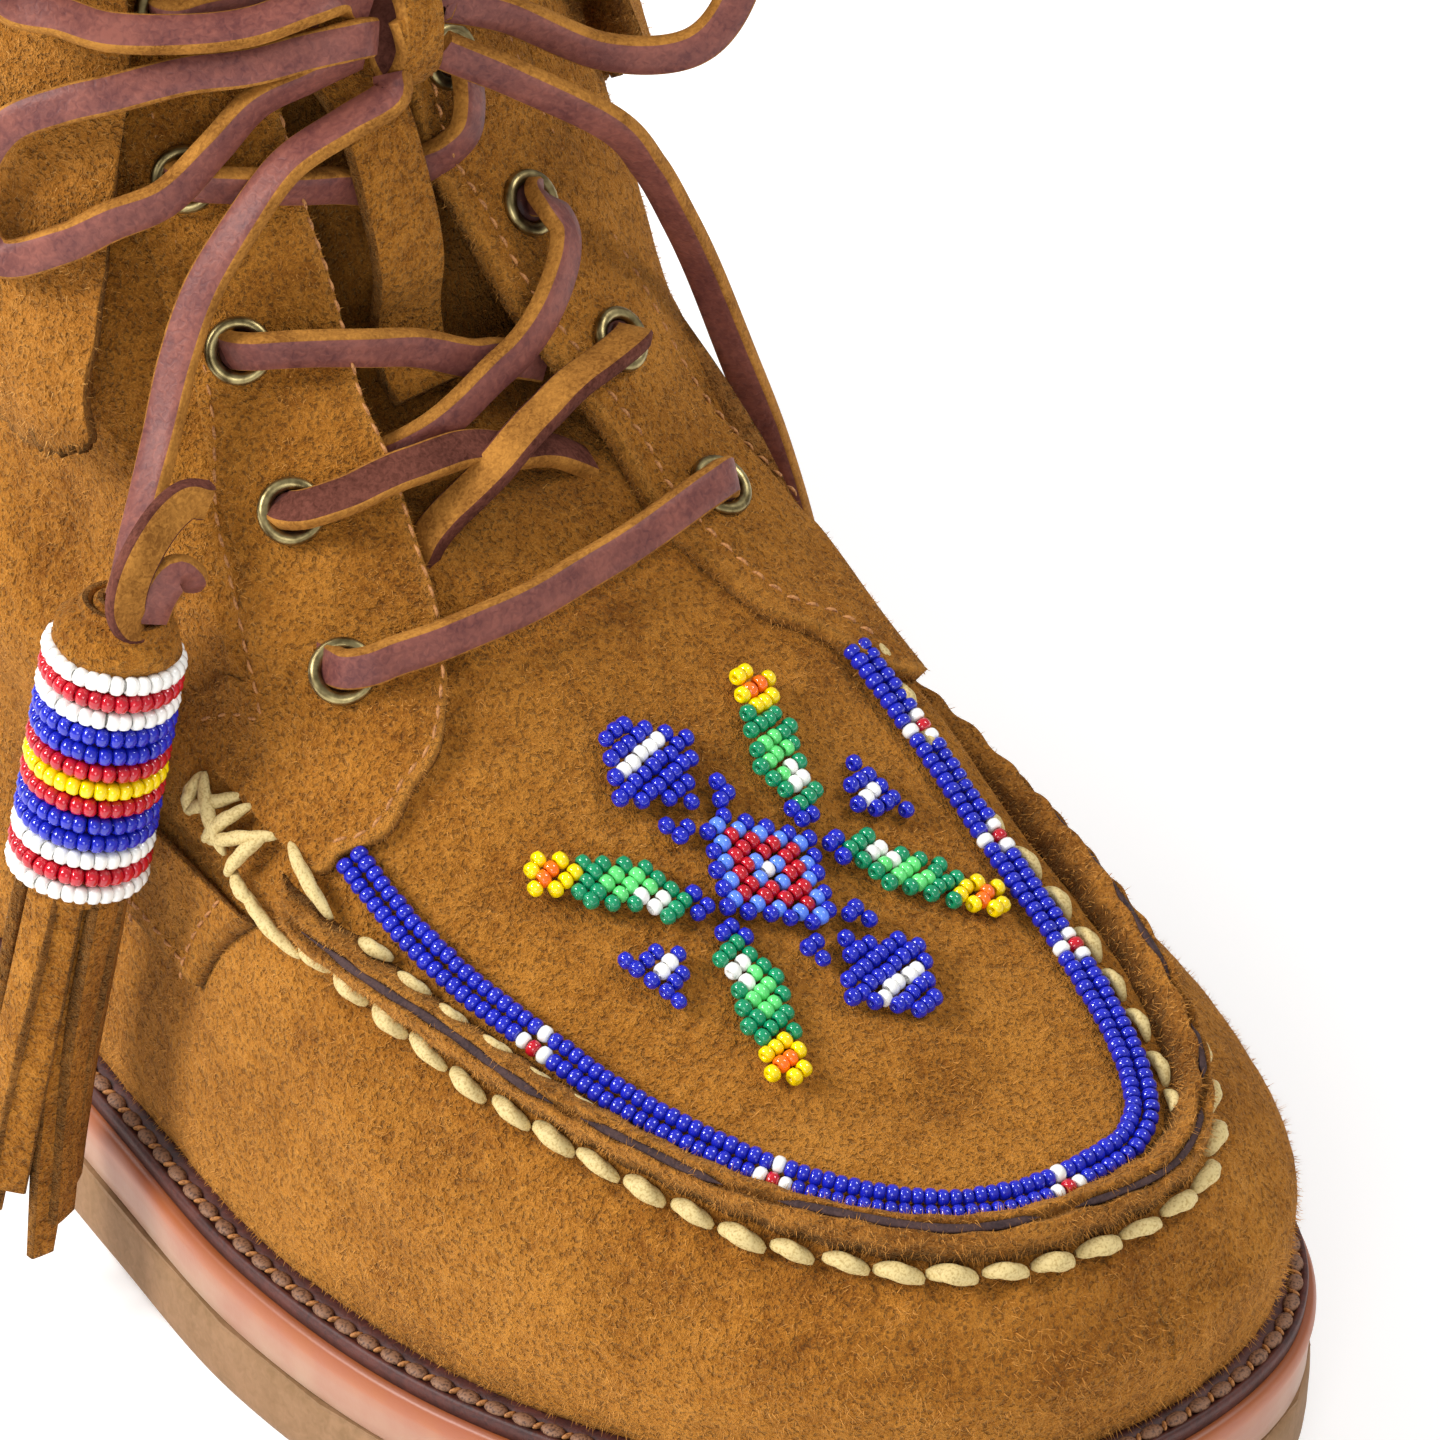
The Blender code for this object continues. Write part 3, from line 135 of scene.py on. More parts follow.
THROAT = [
    # level, lateral edge, medial edge
    (6.60, 0.000, 0.000), (6.75, 0.180, 0.120), (7.00, 0.270, 0.195), (7.40, 0.285, 0.200),
    (7.90, 0.265, 0.165), (8.40, 0.245, 0.120), (9.00, 0.205, 0.060), (10.0, 0.185, 0.038),
    (12.0, 0.180, 0.050),
]
FACING = {
    # front level, front turn, rear level, rear turn
    "lateral": [
        (11.60, -0.165, 11.60, -0.440), (10.70, -0.165, 10.70, -0.450), (9.54, -0.180, 9.60, -0.490),
        (9.00, -0.185, 9.10, -0.500), (8.56, -0.205, 8.60, -0.520), (8.18, -0.225, 8.10, -0.540),
        (7.74, -0.225, 7.60, -0.580), (7.24, -0.245, 6.90, -0.650), (6.84, -0.280, 6.30, -0.740),
        (6.38, -0.365, 5.80, -0.830), (6.04, -0.445, 5.40, -0.900), (5.70, -0.530, 5.00, -0.950),
        (4.98, -0.725, 4.50, -1.000), (3.92, -0.935, 4.00, -1.030), (3.45, -0.990, 3.55, -1.050)],
    "medial": [
        (11.60, 0.045, 11.60, 0.300), (10.70, 0.040, 10.70, 0.290), (10.06, 0.035, 10.06, 0.290),
        (9.50, 0.028, 9.50, 0.300), (9.06, 0.045, 9.06, 0.330), (8.42, 0.065, 8.42, 0.370),
        (7.78, 0.110, 7.70, 0.430), (7.34, 0.145, 7.10, 0.490), (6.94, 0.155, 6.70, 0.530),
        (6.44, 0.195, 6.10, 0.600), (6.12, 0.240, 5.60, 0.680), (5.80, 0.340, 5.20, 0.780),
        (5.42, 0.435, 4.80, 0.860), (4.70, 0.660, 4.30, 0.950), (3.98, 0.880, 3.98, 1.000),
        (3.55, 0.960, 3.62, 1.020)],
}
EYELETS = {
    "lateral": [(5.86, -0.655), (7.30, -0.470), (8.46, -0.415), (9.64, -0.385), (10.70, -0.330)],
    "medial": [(6.70, 0.330), (7.90, 0.225), (8.94, 0.155), (10.00, 0.105), (10.90, 0.115)],
}
SEAM_ENDS = (-1.045, 1.020)
ROLL_START = -1.004
BEAD_LANE = [
    (3.78, -0.955), (3.56, -0.910), (3.46, -0.855), (3.40, -0.775), (3.33, -0.700),
    (3.29, -0.590), (3.26, -0.475), (3.24, -0.360), (3.23, -0.240), (3.23, -0.120), (3.25, -0.025),
    (3.28, 0.050), (3.36, 0.150), (3.58, 0.250), (3.90, 0.318), (4.26, 0.360), (4.62, 0.400),
    (4.94, 0.425), (5.30, 0.428), (5.55, 0.420)]
LANE_ACCENTS = [0.170, 0.345, 0.525, 0.745, 0.840, 0.930]


# Curves and the sole's outline


def catmull(p0, p1, p2, p3, t):
    return 0.5 * (2 * p1 + (p2 - p0) * t + (2 * p0 - 5 * p1 + 4 * p2 - p3) * t * t
                  + (3 * p1 - p0 - 3 * p2 + p3) * t ** 3)


def smooth_curve(points, fine=24, closed=False):
    """A dense smooth curve through the points, of any number of columns."""
    pts = np.array(points, float)
    n = len(pts)
    t = np.linspace(0, 1, fine, endpoint=False)[:, None]
    if closed:
        return np.vstack([catmull(pts[i - 1], pts[i], pts[(i + 1) % n], pts[(i + 2) % n], t)
                          for i in range(n)])
    pad = np.vstack([2 * pts[0] - pts[1], pts, 2 * pts[-1] - pts[-2]])
    spans = [catmull(pad[i], pad[i + 1], pad[i + 2], pad[i + 3], t) for i in range(n - 1)]
    return np.vstack(spans + [pts[-1:]])


def run_along(line):
    return np.r_[0, np.cumsum(np.linalg.norm(np.diff(line, axis=0), axis=1))]


def pick(line, run, at):
    return np.column_stack([np.interp(at, run, line[:, k]) for k in range(line.shape[1])])


def even(line, spacing=None, count=None):
    """Points spaced evenly along a curve."""
    run = run_along(line)
    count = count or max(2, int(round(run[-1] / spacing)) + 1)
    return pick(line, run, np.linspace(0, run[-1], count))


def unit(v):
    v = np.asarray(v, float)
    return v / np.maximum(np.linalg.norm(v, axis=-1, keepdims=True), 1e-12)


def ease(x):
    x = np.clip(x, 0, 1)
    return x * x * (3 - 2 * x)


def station_y(share):
    return SOLE_LENGTH * (0.5 - share)


class Outline:
    """The sole's outline moved inwards."""

    def __init__(self, inset):
        lateral = [(-lat * BALL_WIDTH, station_y(s)) for s, lat, med in OUTLINE]
        medial = [(med * BALL_WIDTH, station_y(s)) for s, lat, med in reversed(OUTLINE)]
        knots = [(HEEL_TIP * BALL_WIDTH, station_y(0.0))] + lateral
        knots += [(TOE_TIP * BALL_WIDTH, station_y(1.0))] + medial
        curve = smooth_curve(knots, 12, closed=True)
        run = np.roll(curve, -1, 0) - np.roll(curve, 1, 0)
        out = unit(np.column_stack([-run[:, 1], run[:, 0]]))
        if np.sum(out * (curve - curve.mean(0))) < 0:
            out = -out
        moved = curve - inset * out
        moved = np.roll(moved, -int(np.argmax(moved[:, 1])), 0)
        toe = int(np.argmin(moved[:, 1]))
        self.line = moved
        self.heel, self.toe = moved[0], moved[toe]
        self.sides = moved[:toe + 1], np.vstack([moved[toe:], moved[:1]])

    def lateral(self, y):
        return np.interp(-y, -self.sides[0][:, 1], self.sides[0][:, 0])

    def medial(self, y):
        return np.interp(y, self.sides[1][:, 1], self.sides[1][:, 0])


def spring(y):
    share = 0.5 - y / SOLE_LENGTH
    return TOE_SPRING * np.clip((share - SPRING_START) / (1 - SPRING_START), 0, 1) ** 2


def sole_height(y, above_floor):
    return above_floor + spring(y) + HEEL_RISE * ease(y / SOLE_LENGTH / 0.35)


LOW_RINGS = [(Outline(FEATHER_INSET), 0.0003), (Outline(FEATHER_INSET - 0.0012), 0.011),
             (Outline(SHOULDER_INSET), None)]


def ring_points(index, turn):
    """Points of one ring of the upper at an array of turns."""
    outer = turn < 0
    q = np.abs(turn)
    front = q <= 1
    angle = np.where(front, q, 2 - q) * math.pi / 2
    cos, sin = np.maximum(np.cos(angle), 0), np.maximum(np.sin(angle), 0)
    if index < 3:
        rounds = [OUTLINE_ROUND[k] for k in ("lateral", "medial", "back")]
    else:
        rounds = RINGS[index - 3][4]
    power = 2 / np.where(front, np.where(outer, rounds[0], rounds[1]), rounds[2])
    along, across = cos ** power, sin ** power
    bend = np.maximum(1 - along, 0) ** 1.2
    if index < 3:
        form, height = LOW_RINGS[index]
        y_side = station_y(np.where(outer, OUTLINE_WIDEST["lateral"], OUTLINE_WIDEST["medial"]))
        y_end = np.where(front, form.toe[1], form.heel[1])
        y = y_side + (y_end - y_side) * along
        x = np.where(outer, form.lateral(y), form.medial(y))
        x = np.where(along > 0.9999, np.where(front, form.toe[0], form.heel[0]), x)
        if height is not None:
            return np.stack([x, y, sole_height(y, SOLE_TOP) + height], -1)
        end = np.where(front, SHOULDER_RISE["front"], SHOULDER_RISE["back"])
        side = np.where(outer, SHOULDER_RISE["lateral"], SHOULDER_RISE["medial"])
        return np.stack([x, y, SOLE_TOP + INSTEP_RISE * (end + (side - end) * bend)], -1)
    ahead, lateral, medial, behind, rounds = RINGS[index - 3]
    side = [np.where(outer, lateral[k], medial[k]) for k in range(3)]
    end = [np.where(front, ahead[k], behind[k]) for k in range(3)]
    x = BALL_WIDTH * (end[0] * along + np.where(outer, -1, 1) * side[0] * across)
    y_side, y_end = station_y(side[1]), station_y(end[1])
    y = y_side + (y_end - y_side) * along
    return np.stack([x, y, SOLE_TOP + INSTEP_RISE * (end[2] + (side[2] - end[2]) * bend)], -1)


def bare_skin(level, turn):
    level, turn = np.broadcast_arrays(np.asarray(level, float), np.asarray(turn, float))
    turn = (turn + 2) % 4 - 2
    level = np.clip(level, 0, TOP_LEVEL)
    rings = np.stack([ring_points(k, turn) for k in range(TOP_LEVEL + 1)])
    low = np.minimum(level.astype(int), TOP_LEVEL - 1)
    pick_ring = [np.clip(low + k, 0, TOP_LEVEL) for k in (-1, 0, 1, 2)]
    four = [np.take_along_axis(rings, k[None, ..., None], 0)[0] for k in pick_ring]
    return catmull(*four, (level - low)[..., None])


def skin_axes(level, turn):
    """Unit vectors of the upper: outwards, up the levels and round the turns."""
    step = 0.02
    level, turn = np.broadcast_arrays(np.asarray(level, float), np.asarray(turn, float))
    up = bare_skin(level + step, turn) - bare_skin(level - step, turn)
    round_ = bare_skin(level, turn + step) - bare_skin(level, turn - step)
    out = unit(np.cross(round_, up))
    return out, unit(up), unit(round_)


def skin(level, turn, lift=0.0):
    out = skin_axes(level, turn)[0]
    return bare_skin(level, turn) + out * np.asarray(lift, float)[..., None]


def table_value(table, at, column):
    rows = np.array(table, float)
    return np.interp(at, rows[:, 0], rows[:, column])


# Vamp apron as a flat pattern: across in metres from the centre line, along from the throat


class Apron:
    """Turns flat pattern places on the vamp into points, outward normals and directions."""

    def __init__(self):
        levels, turns = np.meshgrid(np.linspace(3.0, 7.4, 90), np.linspace(-1.0, 1.0, 160), indexing="ij")
        self.points = bare_skin(levels, turns).reshape(-1, 3)
        self.levels, self.turns = levels.ravel(), turns.ravel()
        middle = bare_skin(np.linspace(7.0, 3.0, 200), np.zeros(200) - 0.02)
        self.run, self.middle = run_along(middle), middle

    def place(self, across, along):
        y = np.interp(along, self.run, self.middle[:, 1])
        x = np.interp(along, self.run, self.middle[:, 0]) + np.asarray(across)
        level, turn = np.empty(len(x)), np.empty(len(x))
        for k in range(len(x)):
            gap = (self.points[:, 0] - x[k]) ** 2 + (self.points[:, 1] - y[k]) ** 2
            near = np.argsort(gap)[:4]
            weight = 1 / (gap[near] + 1e-9)
            level[k] = np.sum(self.levels[near] * weight) / weight.sum()
            turn[k] = np.sum(self.turns[near] * weight) / weight.sum()
        return level, turn


# Small helpers for objects


def linear(hex_code):
    """An sRGB hex colour as linear RGB."""
    values = [int(hex_code[k:k + 2], 16) / 255 for k in (1, 3, 5)]
    return tuple(v / 12.92 if v <= 0.04045 else ((v + 0.055) / 1.055) ** 2.4 for v in values)


def shades(chosen, *codes):
    """The codes as linear colours, moved by as much as the chosen colour is from the first of them."""
    first = linear(codes[0])
    return [tuple(min(v * c / f, 1.0) for v, c, f in zip(linear(code), chosen, first)) for code in codes]


def noise_field(points, size, seed=0):
    """Smooth cheap noise in -1..1 made of turned waves, the same on each run."""
    rng = np.random.default_rng(seed)
    total = np.zeros(points.shape[:-1])
    for _ in range(10):
        way = rng.normal(size=3)
        way /= np.linalg.norm(way)
        total += np.sin(points @ way * (2 * math.pi / size) * rng.uniform(0.6, 1.6) + rng.uniform(0, 7))
    return total / 4.5


def new_object(name, mesh, materials):
    obj = bpy.data.objects.new(name, mesh)
    for made in materials:
        mesh.materials.append(made)
    bpy.context.scene.collection.objects.link(obj)
    return obj


def finish_piece(obj, nodes=(), smooth=True, sharp=None):
    """Seats a piece on the boot and hides the imported solids that it stands for."""
    if smooth:
        obj.data.shade_smooth()
        if sharp:
            obj.data.set_sharp_from_angle(angle=math.radians(sharp))
    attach(obj, "root")
    if nodes:
        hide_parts(*nodes)
    return obj


def sheet_mesh(name, grid, materials, closed_round=False, face_material=None, attributes=None):
    """A grid of points as a mesh, made from a bmesh grid whose vertices are set in place."""
    grid = np.asarray(grid, float)
    rows, cols = grid.shape[:2]
    work = bmesh.new()
    bmesh.ops.create_grid(work, x_segments=cols - 1, y_segments=rows - 1, size=0.5)
    mesh = bpy.data.meshes.new(name)
    work.to_mesh(mesh)
    work.free()
    mesh.vertices.foreach_set("co", grid.reshape(-1))
    for key, values in (attributes or {}).items():
        layer = mesh.attributes.new(key, "FLOAT", "POINT")
        layer.data.foreach_set("value", np.asarray(values, np.float32).reshape(-1))
    if face_material is not None:
        picked = np.broadcast_to(face_material, (rows - 1, cols - 1))
        mesh.polygons.foreach_set("material_index", picked.reshape(-1).astype(np.int32))
    if closed_round:
        work = bmesh.new()
        work.from_mesh(mesh)
        bmesh.ops.remove_doubles(work, verts=work.verts, dist=0.000004)
        work.to_mesh(mesh)
        work.free()
    mesh.update()
    return new_object(name, mesh, materials)


def turn_outwards(obj):
    work = bmesh.new()
    work.from_mesh(obj.data)
    bmesh.ops.recalc_face_normals(work, faces=work.faces)
    work.to_mesh(obj.data)
    work.free()
    return obj


def apply_modifiers(obj):
    graph = bpy.context.evaluated_depsgraph_get()
    mesh = bpy.data.meshes.new_from_object(obj.evaluated_get(graph))
    old = obj.data
    obj.modifiers.clear()
    obj.data = mesh
    bpy.data.meshes.remove(old)
    return obj


def thicken(obj, thickness, rim_material=None):
    """Gives a sheet its leather's thickness, below the face that shows."""
    solid = obj.modifiers.new("thickness", "SOLIDIFY")
    solid.thickness = thickness
    solid.offset = -1
    solid.use_even_offset = False
    if rim_material is not None:
        solid.material_offset_rim = rim_material
    return apply_modifiers(obj)


def strip_sweep(name, path, facing, half_width, half_thick, materials, taper=None):
    """A flat leather thong along a path, with its grain face turned to the facing vectors.

    Material 0 is the grain face, 1 the cut edges and 2 the suede back."""
    path = np.asarray(path, float)
    way = unit(np.gradient(path, axis=0))
    facing = np.asarray(facing, float)
    out = unit(facing - way * np.sum(facing * way, -1, keepdims=True))
    side = np.cross(way, out)
    soft = 0.30 * half_thick
    w, t = half_width, half_thick
    profile = [(-w + soft, t), (-w / 3, t * 1.05), (w / 3, t * 1.05), (w - soft, t), (w, t - soft),
               (w, -t + soft), (w - soft, -t), (-w / 3, -t), (-w + soft, -t), (-w, -t + soft),
               (-w, t - soft)]
    profile.append(profile[0])
    kinds = [0, 0, 0, 1, 1, 1, 2, 2, 1, 1, 1]
    scale = np.ones(len(path)) if taper is None else np.asarray(taper)
    grid = np.stack([path + side * (a * scale)[:, None] + out * (b * scale)[:, None]
                     for a, b in profile], 1)
    obj = sheet_mesh(name, grid, materials, closed_round=True, face_material=np.array(kinds)[None, :])
    work = bmesh.new()
    work.from_mesh(obj.data)
    ends = [e for e in work.edges if e.is_boundary]
    made = bmesh.ops.holes_fill(work, edges=ends, sides=0)
    for face in made["faces"]:
        face.material_index = 1
    bmesh.ops.recalc_face_normals(work, faces=work.faces)
    work.to_mesh(obj.data)
    work.free()
    return obj


def scatter(name, base_points, base_faces, frames, materials, picks=None):
    """Copies of one small form joined in one mesh. frames are (n, 4, 3): origin and three axes."""
    frames = np.asarray(frames, float)
    base = np.asarray(base_points, float)
    verts = frames[:, None, 0] + np.einsum("pk,nkc->npc", base, frames[:, 1:])
    count, size = len(frames), len(base)
    widths = {len(f) for f in base_faces}
    faces = []
    for width in widths:
        part = np.array([f for f in base_faces if len(f) == width])
        faces.append((part[None] + (np.arange(count) * size)[:, None, None]).reshape(-1, width))
    mesh = bpy.data.meshes.new(name)
    mesh.from_pydata(verts.reshape(-1, 3), [], [tuple(row) for part in faces for row in part.tolist()])
    if picks is not None:
        index = np.concatenate([np.repeat(np.asarray(picks), len(part) // count) for part in faces])
        mesh.polygons.foreach_set("material_index", index.astype(np.int32))
    mesh.update()
    return new_object(name, mesh, materials)


def lists_of(work):
    """The points and faces of a bmesh, for scatter. The bmesh is freed."""
    work.verts.index_update()
    points = np.array([v.co[:] for v in work.verts])
    faces = [tuple(v.index for v in face.verts) for face in work.faces]
    work.free()
    return points, faces


def turned_form(profile, steps=40):
    """A closed profile of (radius, height) turned about Z with bmesh's own spin."""
    work = bmesh.new()
    verts = [work.verts.new((r, 0.0, h)) for r, h in profile]
    edges = [work.edges.new((verts[k], verts[(k + 1) % len(verts)])) for k in range(len(verts))]
    bmesh.ops.spin(work, geom=verts + edges, cent=(0, 0, 0), axis=(0, 0, 1), angle=math.tau, steps=steps,
                   use_merge=True)
    bmesh.ops.remove_doubles(work, verts=work.verts, dist=0.000001)
    bmesh.ops.recalc_face_normals(work, faces=work.faces)
    return lists_of(work)


def bead_form(radius, length, steps=10):
    """A seed bead: a round ring with a thread hole, its axis along Z."""
    hole, half = radius * 0.30, length / 2
    profile = [(hole, -half * 0.72), (radius * 0.66, -half), (radius * 0.95, -half * 0.55), (radius, 0.0),
               (radius * 0.95, half * 0.55), (radius * 0.66, half), (hole, half * 0.72)]
    return turned_form(profile, steps)


def grain_stitch(turns=0.6, steps=12, sides=15):
    """One plump thread stitch, 1 long and 1 thick, along its own X axis and bowed up in Z.

    Three plies are wound round it, and its ends are drawn in where they go down into the leather."""
    work = bmesh.new()
    bmesh.ops.create_grid(work, x_segments=sides, y_segments=steps, size=0.5)
    for vert in work.verts:
        share, angle = min(max(vert.co.y + 0.5, 0.0), 1.0), math.tau * (vert.co.x + 0.5)
        rise = math.sin(math.pi * share)
        radius = (0.34 + 0.66 * rise ** 0.55) * (
            0.42 + 0.08 * abs(math.sin(1.5 * (angle - math.tau * turns * share))))
        vert.co = (share - 0.5, math.cos(angle) * radius,
                   0.62 * rise ** 0.8 - 0.38 + math.sin(angle) * radius)
    bmesh.ops.remove_doubles(work, verts=work.verts, dist=0.0001)
    bmesh.ops.holes_fill(work, edges=[edge for edge in work.edges if edge.is_boundary], sides=0)
    bmesh.ops.recalc_face_normals(work, faces=work.faces)
    return lists_of(work)


def frames_on(points, along, out):
    """Frames whose X runs along, Z outwards, for scatter."""
    along = unit(along - out * np.sum(along * out, -1, keepdims=True))
    return np.stack([points, along, np.cross(out, along), out], 1)


# Materials


def node(tree, kind, inputs=None, stops=None, **settings):
    """Adds a node with its settings, its constants and its links."""
    made = tree.nodes.new(kind)
    for key, value in settings.items():
        setattr(made, key, value)
    for key, value in (inputs or {}).items():
        if isinstance(value, bpy.types.NodeSocket):
            tree.links.new(value, made.inputs[key])
        else:
            made.inputs[key].default_value = value
    if stops:
        elements = made.color_ramp.elements
        while len(elements) < len(stops):
            elements.new(0.5)
        for element, (at, colour) in zip(elements, stops):
            element.position = at
            if isinstance(colour, str):
                colour = linear(colour)
            element.color = (*colour, 1.0) if isinstance(colour, tuple) else (colour, colour, colour, 1.0)
    return made


def new_material(name, **constants):
    made = bpy.data.materials.new(name)
    made.use_nodes = True
    tree = made.node_tree
    tree.nodes.clear()
    shader = node(tree, "ShaderNodeBsdfPrincipled", constants)
    node(tree, "ShaderNodeOutputMaterial", {"Surface": shader.outputs[0]})
    return made, tree, shader


def suede_material(name, light, middle, dark, nap_mm=0.55):
    """Brushed suede split: a short nap lying in soft patches, with open pits between the fibre tufts.

    The nap gives a matt face that lightens at its edges, so it has sheen and almost no gloss."""
    made, tree, shader = new_material(name, **{
        "Roughness": 0.92, "IOR": 1.45, "Specular IOR Level": 0.12, "Sheen Weight": 0.28,
        "Sheen Roughness": 0.45, "Sheen Tint": (*linear("#F2C078"), 1.0)})
    place = node(tree, "ShaderNodeTexCoord").outputs["Object"]
    patches, pebbles, tufts, fibres, pits = [
        node(tree, "ShaderNodeTexNoise", {"Vector": place, "Scale": 1 / (size * MM), "Detail": detail,
                                          "Roughness": rough}).outputs[0]
        for size, detail, rough in ((17, 4.0, 0.6), (nap_mm * 4.4, 2.0, 0.5), (nap_mm * 2.0, 4.0, 0.7),
                                    (nap_mm * 0.6, 2.0, 0.5), (0.62, 1.0, 0.5))]
    tone = 0.0
    for layer, share in ((patches, 0.34), (pebbles, 0.14), (tufts, 0.30), (fibres, 0.22)):
        tone = node(tree, "ShaderNodeMath", {0: layer, 1: share, 2: tone},
                    operation="MULTIPLY_ADD").outputs[0]
    colour = node(tree, "ShaderNodeValToRGB", {"Fac": tone},
                  stops=[(0.40, dark), (0.50, middle), (0.60, light)]).outputs[0]
    open_pits = node(tree, "ShaderNodeValToRGB", {"Fac": pits}, stops=[(0.57, 0.0), (0.68, 1.0)]).outputs[0]
    pit_share = node(tree, "ShaderNodeMath", {0: open_pits, 1: 0.42}, operation="MULTIPLY").outputs[0]
    shade, edge_highlight = [node(tree, "ShaderNodeAttribute", attribute_name=key).outputs["Fac"]
                  for key in ("shade", "edge_highlight")]
    # Dark pits are the suede's own grain; the second mix is painted shade and the third, lighter one a
    # painted highlight
    for amount, code in ((pit_share, "#54290A"), (shade, "#3A1C08"), (edge_highlight, "#D99A48")):
        colour = node(tree, "ShaderNodeMix", {0: amount, 6: colour, 7: (*linear(code), 1.0)},
                      data_type="RGBA").outputs[2]
    height = tufts
    for layer, share in ((open_pits, -0.45), (fibres, 0.6), (pebbles, 1.5)):
        height = node(tree, "ShaderNodeMath", {0: layer, 1: share, 2: height},
                      operation="MULTIPLY_ADD").outputs[0]
    bump = node(tree, "ShaderNodeBump", {"Height": height, "Distance": 0.924 * MM, "Strength": 1.0})
    tree.links.new(colour, shader.inputs["Base Color"])
    tree.links.new(bump.outputs[0], shader.inputs["Normal"])
    return made


def leather_material(name, colour, dark, roughness, crease_mm, depth_mm, gloss=0.4):
    """Finished or cut leather: fine creases or fibres at one scale, over a slight mottle."""
    made, tree, shader = new_material(name, Roughness=roughness, IOR=1.5)
    place = node(tree, "ShaderNodeTexCoord").outputs["Object"]
    mottle = node(tree, "ShaderNodeTexNoise",
                  {"Vector": place, "Scale": 1 / (6 * MM), "Detail": 4.0}).outputs[0]
    grain = node(tree, "ShaderNodeTexNoise",
                 {"Vector": place, "Scale": 1 / (crease_mm * MM), "Detail": 3.0,
                  "Distortion": 0.8}).outputs[0]
    tone = node(tree, "ShaderNodeMath", {0: mottle, 1: 0.5, 2: 0.0}, operation="MULTIPLY_ADD")
    tone = node(tree, "ShaderNodeMath", {0: grain, 1: 0.5, 2: tone.outputs[0]}, operation="MULTIPLY_ADD")
    ramp = node(tree, "ShaderNodeValToRGB", {"Fac": tone.outputs[0]},
                stops=[(0.36, dark), (0.62, colour)])
    bump = node(tree, "ShaderNodeBump", {"Height": grain, "Distance": depth_mm * MM, "Strength": 0.6})
    tree.links.new(ramp.outputs[0], shader.inputs["Base Color"])
    tree.links.new(bump.outputs[0], shader.inputs["Normal"])
    shader.inputs["Specular IOR Level"].default_value = gloss
    return made


def thread_material(name, colour, dark):
    """Waxed twisted thread: short ply shadows, a soft gloss on the wax."""
    made, tree, shader = new_material(name, Roughness=0.62, IOR=1.45)
    place = node(tree, "ShaderNodeTexCoord").outputs["Object"]
    plies = node(tree, "ShaderNodeTexNoise",
                 {"Vector": place, "Scale": 1 / (0.32 * MM), "Detail": 2.0}).outputs[0]
    ramp = node(tree, "ShaderNodeValToRGB", {"Fac": plies}, stops=[(0.34, dark), (0.52, colour)])
    bump = node(tree, "ShaderNodeBump", {"Height": plies, "Distance": 0.1 * MM, "Strength": 0.5})
    tree.links.new(ramp.outputs[0], shader.inputs["Base Color"])
    tree.links.new(bump.outputs[0], shader.inputs["Normal"])
    return made


def bead_material(name, colour):
    """Opaque pressed glass: fire-polished, so each bead has one small sharp highlight."""
    made, tree, shader = new_material(name, Roughness=0.07, IOR=1.54)
    place = node(tree, "ShaderNodeTexCoord").outputs["Object"]
    uneven = node(tree, "ShaderNodeTexNoise",
                  {"Vector": place, "Scale": 1 / (2.4 * MM), "Detail": 1.0}).outputs[0]
    value = node(tree, "ShaderNodeMath", {0: uneven, 1: 0.5, 2: 0.75}, operation="MULTIPLY_ADD")
    tone = node(tree, "ShaderNodeHueSaturation",
                {"Color": (*colour, 1.0), "Value": value.outputs[0]})
    tree.links.new(tone.outputs[0], shader.inputs["Base Color"])
    shader.inputs["Coat Weight"].default_value = 0.25
    shader.inputs["Coat Roughness"].default_value = 0.05
    return made


def brass_material(name):
    """Antique-plated brass: a dull film in the hollows, worn bright on the crown."""
    made, tree, shader = new_material(name, Metallic=1.0, Roughness=0.36)
    place = node(tree, "ShaderNodeTexCoord").outputs["Object"]
    film = node(tree, "ShaderNodeTexNoise",
                {"Vector": place, "Scale": 1 / (1.6 * MM), "Detail": 4.0}).outputs[0]
    ramp = node(tree, "ShaderNodeValToRGB", {"Fac": film}, stops=[(0.35, "#6A5C3C"), (0.65, "#B0A070")])
    tree.links.new(ramp.outputs[0], shader.inputs["Base Color"])
    return made


def edge_band_material(name):
    """Waxed sole edge: an orange-brown burnished rim over a rosy grey-tan face, redder to the rear."""
    made, tree, shader = new_material(name, Roughness=0.42, IOR=1.5)
    place = node(tree, "ShaderNodeTexCoord").outputs["Object"]
    band = node(tree, "ShaderNodeAttribute", attribute_name="band").outputs["Fac"]
    streaks = node(tree, "ShaderNodeTexNoise",
                   {"Vector": place, "Scale": 1 / (7 * MM), "Detail": 5.0}).outputs[0]
    ramp = node(tree, "ShaderNodeValToRGB", {"Fac": band},
                stops=[(0.0, "#A8886E"), (0.50, "#A87C64"), (0.80, "#A86036"), (1.0, "#8E4A20")])
    rosy = node(tree, "ShaderNodeValToRGB", {"Fac": streaks}, stops=[(0.38, 0.0), (0.66, 0.38)])
    colour = node(tree, "ShaderNodeMix", {0: rosy.outputs[0], 6: ramp.outputs[0],
                                          7: (*linear("#96503C"), 1.0)}, data_type="RGBA")
    grain = node(tree, "ShaderNodeTexNoise",
                 {"Vector": place, "Scale": 1 / (0.7 * MM), "Detail": 3.0}).outputs[0]
    bump = node(tree, "ShaderNodeBump", {"Height": grain, "Distance": 0.06 * MM, "Strength": 0.4})
    tree.links.new(colour.outputs[2], shader.inputs["Base Color"])
    tree.links.new(bump.outputs[0], shader.inputs["Normal"])
    return made


